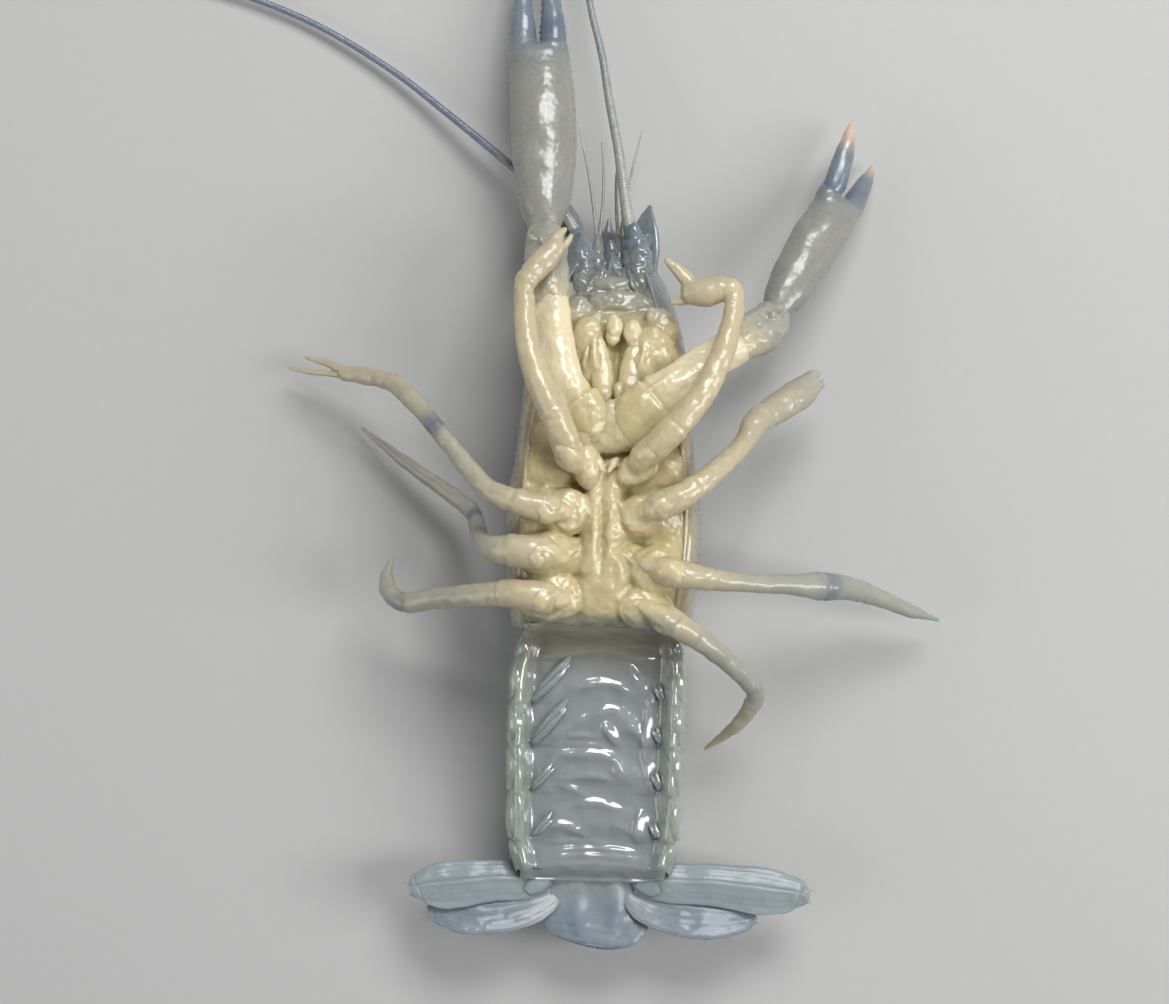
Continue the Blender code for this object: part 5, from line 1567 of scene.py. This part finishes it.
def tail_ring(y, share, shrink=1.0):
    """A ring of the tail at y, share of the way from its segment's front edge to its rear edge."""
    lobe = math.sin(math.pi * (0.1 + 0.8 * min(max(share, 0), 1))) ** 0.7
    wide = smooth(TAIL_HALF_WIDTH, y) * (0.965 + 0.035 * lobe)
    back = 0.35 * max(0.0, 1 - share / 0.2) ** 2
    belly = smooth(TAIL_BELLY_Z, y) - 0.45
    skirt = belly + 0.4 + (smooth(TAIL_SKIRT_Z, y) - smooth(TAIL_BELLY_Z, y)) * (0.35 + 0.65 * lobe)
    half = []
    for k in range(8):
        a = math.pi / 2 * k / 7
        half.append((wide * math.sin(a) ** 0.8,
                     TAIL_WIDEST_Z - (TAIL_WIDEST_Z - back) * math.cos(a) ** 0.8))
    half[1] = (wide * FLAT_SHARE, back)
    half += [(wide * 0.995, (TAIL_WIDEST_Z + skirt) / 2), (wide * 0.96, skirt - 0.45),
             (wide * 0.915, skirt - 0.1), (wide * 0.86, skirt - 0.12), (wide * 0.79, skirt - 0.5),
             (wide * 0.74, belly), (wide * 0.6, belly - 0.2), (wide * 0.3, belly - 0.2),
             (0, belly - 0.2)]
    turns = 4
    fine = [through(half, i / turns) for i in range((len(half) - 1) * turns + 1)]
    whole = fine + [(-x, z) for x, z in fine[-2:0:-1]]
    return [(x * shrink, y, TAIL_MIDDLE_Z + (z - TAIL_MIDDLE_Z) * shrink) for x, z in whole]


def belly_height(x, y):
    """Height of the soft skin under the tail: it dips between the rings and rises to their skirts."""
    u = abs(x) / (smooth(TAIL_HALF_WIDTH, y) * BELLY_SHARE)
    number = max(k for k in range(6) if y <= RING_EDGES[k] or k == 0)
    front, rear = RING_EDGES[number], RING_EDGES[number + 1]
    share = (y + 0.06 * x * x - front) / (rear - front)
    height = smooth(TAIL_BELLY_Z, y) - 0.1
    height += 0.22 * math.sin(math.pi * min(max(share, 0), 1)) ** 2 * (1 - ease(u, 0.5, 0.9))
    rise = smooth(TAIL_SKIRT_Z, y) - smooth(TAIL_BELLY_Z, y)
    height += (rise + 0.1) * ease(u, 0.73, 0.89)
    height -= 0.2 * ease(u, 0.7, 0.9) * (1 - math.sin(math.pi * (0.1 + 0.8 * min(max(share, 0), 1))))
    height -= 1.6 * ease(-y, 29.6, 31.0) ** 2
    return height + 2.85 * ease(y, -11.2, -9.4) - 0.9 * ease(u, 0.9, 1.0) ** 2


def facet(points, half, x, y):
    """How far a facet stands out at (x, y): it falls towards +X, and drops off behind its upper edge."""
    first, last = points[0][1], points[-1][1]
    along = (y - first) / (last - first)
    if not 0 < along < 1 or abs(x - points[0][0]) > 3:
        return 0.0
    wide = half * math.sin(math.pi * along) ** 0.6
    off = x - smooth([(b, a) for a, b in points[::-1]], y)
    if off > wide:
        return 0.0
    return FACET_LEAN * (wide - max(off, -wide)) * (1 - ease(-off - wide, 0, 0.35))


def belly_relief(height):
    """A rule for how far the folds stand out at (x, y); height is that of a fold of radius 0.4."""
    places, sizes = [], []
    for points, radius in BELLY_FOLDS:
        count = (len(points) - 1) * 14
        for i in range(count + 1):
            places.append(through(points, (len(points) - 1) * i / count))
            sizes.append((radius, math.sin(math.pi * (0.04 + 0.92 * i / count)) ** 0.6))
    tree = kdtree.KDTree(len(places))
    for i, (x, y) in enumerate(places):
        tree.insert((x, y, 0), i)
    tree.balance()

    def relief(x, y):
        best = 0.0
        for _, i, far in tree.find_range((x, y, 0), FOLD_REACH):
            radius, share = sizes[i]
            best = max(best, height * radius / 0.4 * share * swell(far, 0, radius * 1.1))
        return max([best] + [facet(points, half, x, y) for points, half in BELLY_FACETS])

    return relief


class CRAYFISH_OT_tail(PieceOperator, bpy.types.Operator):
    """Builds the six rings of the tail and the soft folded skin under them"""

    bl_idname = "crayfish.tail"
    bl_label = "Tail"

    def build(self, sizes):
        for number, (front, rear) in enumerate(zip(RING_EDGES, RING_EDGES[1:]), 1):
            rings = [tail_ring(front + 0.5, 0, 0.9), tail_ring(front + 0.3, 0, 0.94)]
            for s in spaced(0, 1, 30):
                shrink = 1 - 0.02 * swell(s, 0, 0.08) + 0.008 * swell(s, 0.93, 0.08)
                rings.append(tail_ring(front + (rear + 0.12 - front) * s, s, shrink))
            rings += [tail_ring(rear + 0.08, 1, 0.985), tail_ring(rear + 0.3, 1, 0.965)]
            form = Form()
            form.skin(rings)
            form.colour(tint=lambda p: 1 - ease(abs(p[0]), 4.4, 5.6) * ease(p[2], 4.5, 7.0))
            form.points = [bent(p) for p in form.points]
            mesh = mesh_of("ring", form)
            roughen(mesh, (0.10, 1.3), where=lambda p: 1 if p.z > 1.5 else 0.2)
            finished(f"tail_ring_{number}_shell", mesh, "tail", (f"tail_ring_{number}",))
        finished("tail_belly", self.belly(sizes), "tail")

    def belly(self, sizes):
        """The soft skin under all six rings, with its folds and facets."""
        form = Form()
        rings = []
        relief = belly_relief(sizes.fold / MM)
        for y in spaced(-9.3, RING_EDGES[-1] - 0.6, 190):
            ring = soft_ring(y, smooth(TAIL_HALF_WIDTH, y) * BELLY_SHARE, smooth(TAIL_BELLY_Z, y) - 1.1,
                             110, lambda x: belly_height(x, y) + relief(x, y))
            rings.append([bent(p) for p in ring])
        form.skin(rings)
        mesh = melted("tail_belly", form, voxel=0.12, rounds=3)
        roughen(mesh, (0.12, 1.1))
        coloured(mesh, tint=lambda p: 1 - 0.75 * ease(abs(p.x - TAIL_SHIFT), 4.5, 5.4),
                 tip=lambda p: 0.8 * ease(p.y, -14.5, -10.5))
        return mesh


class CRAYFISH_OT_swimmerets(PieceOperator, bpy.types.Operator):
    """Builds the slim paddles that lie folded against the belly, with a few bristles"""

    bl_idname = "crayfish.swimmerets"
    bl_label = "Swimmerets"

    def build(self, sizes):
        spacing = sizes.bristle_gap / MM * 2
        for side, (root, tip) in SWIMMERETS.items():
            form, hairs = Form(), []
            for number in range(2, 6):
                middle = (RING_EDGES[number - 1] + RING_EDGES[number]) / 2
                small = 1.0 if number < 4 and side == "right" else 0.6
                for shift, long, wide in ((0.0, small, 0.38 * small), (0.45, 0.8 * small, 0.3 * small)):
                    blade = self.blade(root, tip, middle, shift, long, wide)
                    tube(form, blade, 30, 18, 0.85, tint=1.0)
                    for edge in (1, -1):
                        hairs.append(self.edge_bristles(blade, edge, spacing, len(hairs)))
            mesh = mesh_of("swimmerets", form)
            roughen(mesh, (0.05, 0.5))
            finished(f"swimmerets_{side}", mesh, "tail")
            finished(f"swimmerets_{side}_bristles", joined("hairs", hairs), "bristle")

    def blade(self, root, tip, middle, shift, long, wide):
        """The path of one paddle of the ring whose middle is at that y, lying on the belly."""
        rows = []
        for s, share, lift in ((-0.12, 0.3, -0.5), (0.0, 0.75, 0.0), (0.3, 1.0, 0.12),
                               (0.65, 0.95, 0.1), (0.9, 0.6, 0.02), (1.0, 0.2, -0.02)):
            x = root[0] + (tip[0] - root[0]) * s * long - math.copysign(shift * s, tip[0])
            y = middle + root[1] + (tip[1] - root[1]) * s * long
            z = belly_height(x, y) + 0.16 + lift + shift * 0.12
            rows.append((x, y, z, wide * share, 0.17 * share + 0.03))
        return Path(rows, shape=bent)

    def edge_bristles(self, blade, edge, spacing, turn):
        """The bristles on one edge of a paddle's outer part."""
        points, leans = [], []
        for t in spaced(3.2, 4.95, 10):
            along, _, across = blade.frame(t)
            points.append(bent(blade.flat(t) + across * edge * blade.size(t)[0] * 0.9))
            leans.append((across * edge * 0.5 + along).normalized())
        return bristles(points, leans, 0.35, "bristle", spacing, 0.7, turn)


class CRAYFISH_OT_tail_fan(PieceOperator, bpy.types.Operator):
    """Builds the five lobes of the tail fan, with ribs and a short fringe of bristles"""

    bl_idname = "crayfish.tail_fan"
    bl_label = "Tail fan"

    def build(self, sizes):
        start = RING_EDGES[-1]
        spacing = sizes.bristle_gap / MM * 2
        self.lobe("fan_middle", beside(MIDDLE_LOBE, 1, start=start), spacing, ("tail_fan_middle",), 0)
        for side, sign in SIDES.items():
            outer = [(x if x < OUTER_X else x * OUTER_REACH[side], *rest) for x, *rest in OUTER_LOBE]
            base = Form()
            tube(base, Path(beside(FAN_BASE, sign, start=start), shape=bent), 20, 24)
            self.lobe(f"fan_{side}_outer", beside(outer, sign, start=start), spacing,
                      (f"tail_fan_{side}_outer",), sign, base)
            self.lobe(f"fan_{side}_inner", beside(INNER_LOBE, sign, start=start), spacing,
                      (f"tail_fan_{side}_inner",), sign)

    def lobe(self, name, stations, spacing, replaces, sign, base=None):
        """A flat ribbed lobe; an outer one has a seam across it and droops towards its rear edge."""
        path = Path(stations, shape=bent)
        form = base or Form()
        outer = "outer" in name
        sides, shares = 96, spaced(0, 1, 64)
        rings = []
        for s in shares:
            _, normal, across = path.frame(path.end * s)
            wide, thick = path.size(path.end * s)
            seam = 0.4 * swell(s, 0.74, 0.012) if outer else 0
            ring = []
            for k in range(sides):
                a = 2 * math.pi * (k + 0.5) / sides
                u = rounded(math.cos(a), 0.8)
                lens = (1 - abs(u) ** 2.4) ** 0.55 * 0.75 + 0.1
                ribs = 0.02 * math.cos(u * math.pi * 9) * (1 - swell(u, 0, 0.1))
                rib = 0.5 * swell(u, 0, 0.1) * (1 - ease(s, 0.75, 1.0)) if sign else \
                    0.3 * swell(abs(u), 0.35, 0.12) * (1 - ease(s, 0.5, 0.9))
                high = thick * (lens + ribs + rib - seam * lens) * math.copysign(1, math.sin(a))
                if outer:
                    high -= 0.45 * ease(-sign * u, 0.1, 1) * min(1, wide / 2)
                ring.append(bent(path.flat(path.end * s) + across * (wide * u) + normal * high))
            rings.append(ring)
        form.skin(rings, tint=[0.8 * (1 - ease(s, 0, 0.45)) for s in shares],
                  spot=[0.0 if outer else 0.35 * ease(s, 0.1, 0.5) for s in shares])
        mesh = mesh_of(name, form)
        roughen(mesh, (0.08, 1.6), (0.03, 0.4))
        finished(name, mesh, "fan", replaces)
        finished(f"{name}_bristles", self.fringe(path, outer, sign, spacing), "bristle")

    def fringe(self, path, outer, sign, spacing):
        """Short bristles along both edges of a lobe's outer part and across its end."""
        lines = []
        for edge in (1, -1):
            start = path.end * (0.8 if edge * sign < 0 and outer else 0.5)
            points, leans = [], []
            for k, t in enumerate(spaced(start, path.end, 30)):
                along, _, across = path.frame(t)
                points.append(path.shape(path.flat(t) + across * (edge * path.size(t)[0] * 0.97)))
                leans.append((across * edge + along * (0.35 + 1.2 * k / 30)).normalized())
            lines.append((points, leans))
        tip, (along, _, across) = path.at(path.end), path.frame(path.end)
        wide = path.size(path.end)[0]
        lines.append(([tip + across * (wide * (k / 10 - 1)) for k in range(21)], [along.copy()] * 21))
        return joined("hairs", [bristles(points, leans, 0.5, "bristle", spacing, turn=n)
                                for n, (points, leans) in enumerate(lines)])


class CRAYFISH_OT_stage(bpy.types.Operator):
    """Builds the pale floor, the soft lights and the camera above"""

    bl_idname = "crayfish.stage"
    bl_label = "Floor, lights and camera"
    bl_options = {"REGISTER", "UNDO"}

    def execute(self, context):
        stage = context.scene.crayfish_stage
        self.floor(stage)
        world = bpy.data.worlds.new("soft_room")
        context.scene.world = world
        world.use_nodes = True
        sky = world.node_tree.nodes["Background"]
        sky.inputs["Color"].default_value = (0.9, 0.95, 1, 1)
        sky.inputs["Strength"].default_value = ROOM_LIGHT
        for name, place, width, length, power in (
                ("head_box", (0.07, 0.20, 0.27), 0.16, 0.13, stage.key),
                ("side_box", (0.25, -0.03, 0.24), 0.10, 0.24, stage.key * 0.85),
                ("fill_box", (-0.30, -0.10, 0.20), 0.25, 0.25, stage.fill)):
            self.light(name, place, width, length, power)
        camera = bpy.data.cameras.new("camera")
        camera.lens = stage.lens
        camera.sensor_width = 36
        camera.clip_start, camera.clip_end = 0.01, 10
        holder = in_scene("camera", camera)
        holder.location = (*(value * MM for value in CAMERA_PLACE), stage.height)
        holder.rotation_euler = (0, 0, stage.turn)
        context.scene.camera = holder
        context.scene.view_settings.view_transform = "Standard"
        return {"FINISHED"}

    def light(self, name, place, width, length, power):
        """A flat light at a place in metres, turned to the middle of the floor."""
        lamp = bpy.data.lights.new(name, "AREA")
        lamp.shape = "RECTANGLE"
        lamp.size, lamp.size_y = width, length
        lamp.energy = power
        holder = in_scene(name, lamp)
        holder.location = place
        holder.rotation_euler = (-Vector(place)).to_track_quat("-Z", "Y").to_euler()

    def floor(self, stage):
        """A wide matt floor just under the animal."""
        grid = bmesh.new()
        bmesh.ops.create_grid(grid, x_segments=8, y_segments=8, size=1.5)
        mesh = bpy.data.meshes.new("floor")
        grid.to_mesh(mesh)
        grid.free()
        made = bpy.data.materials.new("floor_card")
        made.use_nodes = True
        tree = made.node_tree
        shader = tree.nodes["Principled BSDF"]
        place = add_node(tree, "ShaderNodeTexCoord").outputs["Object"]
        clouds = add_node(tree, "ShaderNodeTexNoise", None, {"Vector": place, "Scale": 900}).outputs[0]
        dark = tuple(c * 0.96 for c in stage.floor)
        tree.links.new(mixed(tree, clouds, stage.floor, dark), shader.inputs["Base Color"])
        shader.inputs["Roughness"].default_value = 0.7
        mesh.materials.append(made)
        floor = in_scene("floor", mesh)
        floor.location.z = -FLOOR_GAP * MM


class CRAYFISH_PT_panel(bpy.types.Panel):
    """Lists the pieces and the stage, with their sizes and colours"""

    bl_idname = "CRAYFISH_PT_panel"
    bl_label = "Blue Crayfish"
    bl_space_type = "VIEW_3D"
    bl_region_type = "UI"
    bl_category = "Crayfish"

    def draw(self, context):
        for piece in PIECES:
            self.layout.operator(piece.bl_idname)
        for group in (context.scene.crayfish_sizes, context.scene.crayfish_colours,
                      context.scene.crayfish_stage):
            box = self.layout.box()
            for key in group.bl_rna.properties.keys():
                if key not in ("rna_type", "name"):
                    box.prop(group, key)


PIECES = (CRAYFISH_OT_shield, CRAYFISH_OT_underside, CRAYFISH_OT_mouth, CRAYFISH_OT_legs,
          CRAYFISH_OT_claws, CRAYFISH_OT_face, CRAYFISH_OT_feelers, CRAYFISH_OT_tail,
          CRAYFISH_OT_swimmerets, CRAYFISH_OT_tail_fan, CRAYFISH_OT_stage)
CLASSES = (CrayfishSizes, CrayfishColours, CrayfishStage, *PIECES, CRAYFISH_PT_panel)


def register():
    """Registers the classes and their settings."""
    for item in CLASSES:
        bpy.utils.register_class(item)
    bpy.types.Scene.crayfish_sizes = PointerProperty(type=CrayfishSizes)
    bpy.types.Scene.crayfish_colours = PointerProperty(type=CrayfishColours)
    bpy.types.Scene.crayfish_stage = PointerProperty(type=CrayfishStage)


def unregister():
    """Removes what register() added."""
    del bpy.types.Scene.crayfish_stage
    del bpy.types.Scene.crayfish_colours
    del bpy.types.Scene.crayfish_sizes
    for item in reversed(CLASSES):
        bpy.utils.unregister_class(item)


def main():
    """Builds every piece and the stage in order."""
    register()
    for piece in PIECES:
        group, name = piece.bl_idname.split(".")
        getattr(getattr(bpy.ops, group), name)()


if __name__ == "__main__":
    main()
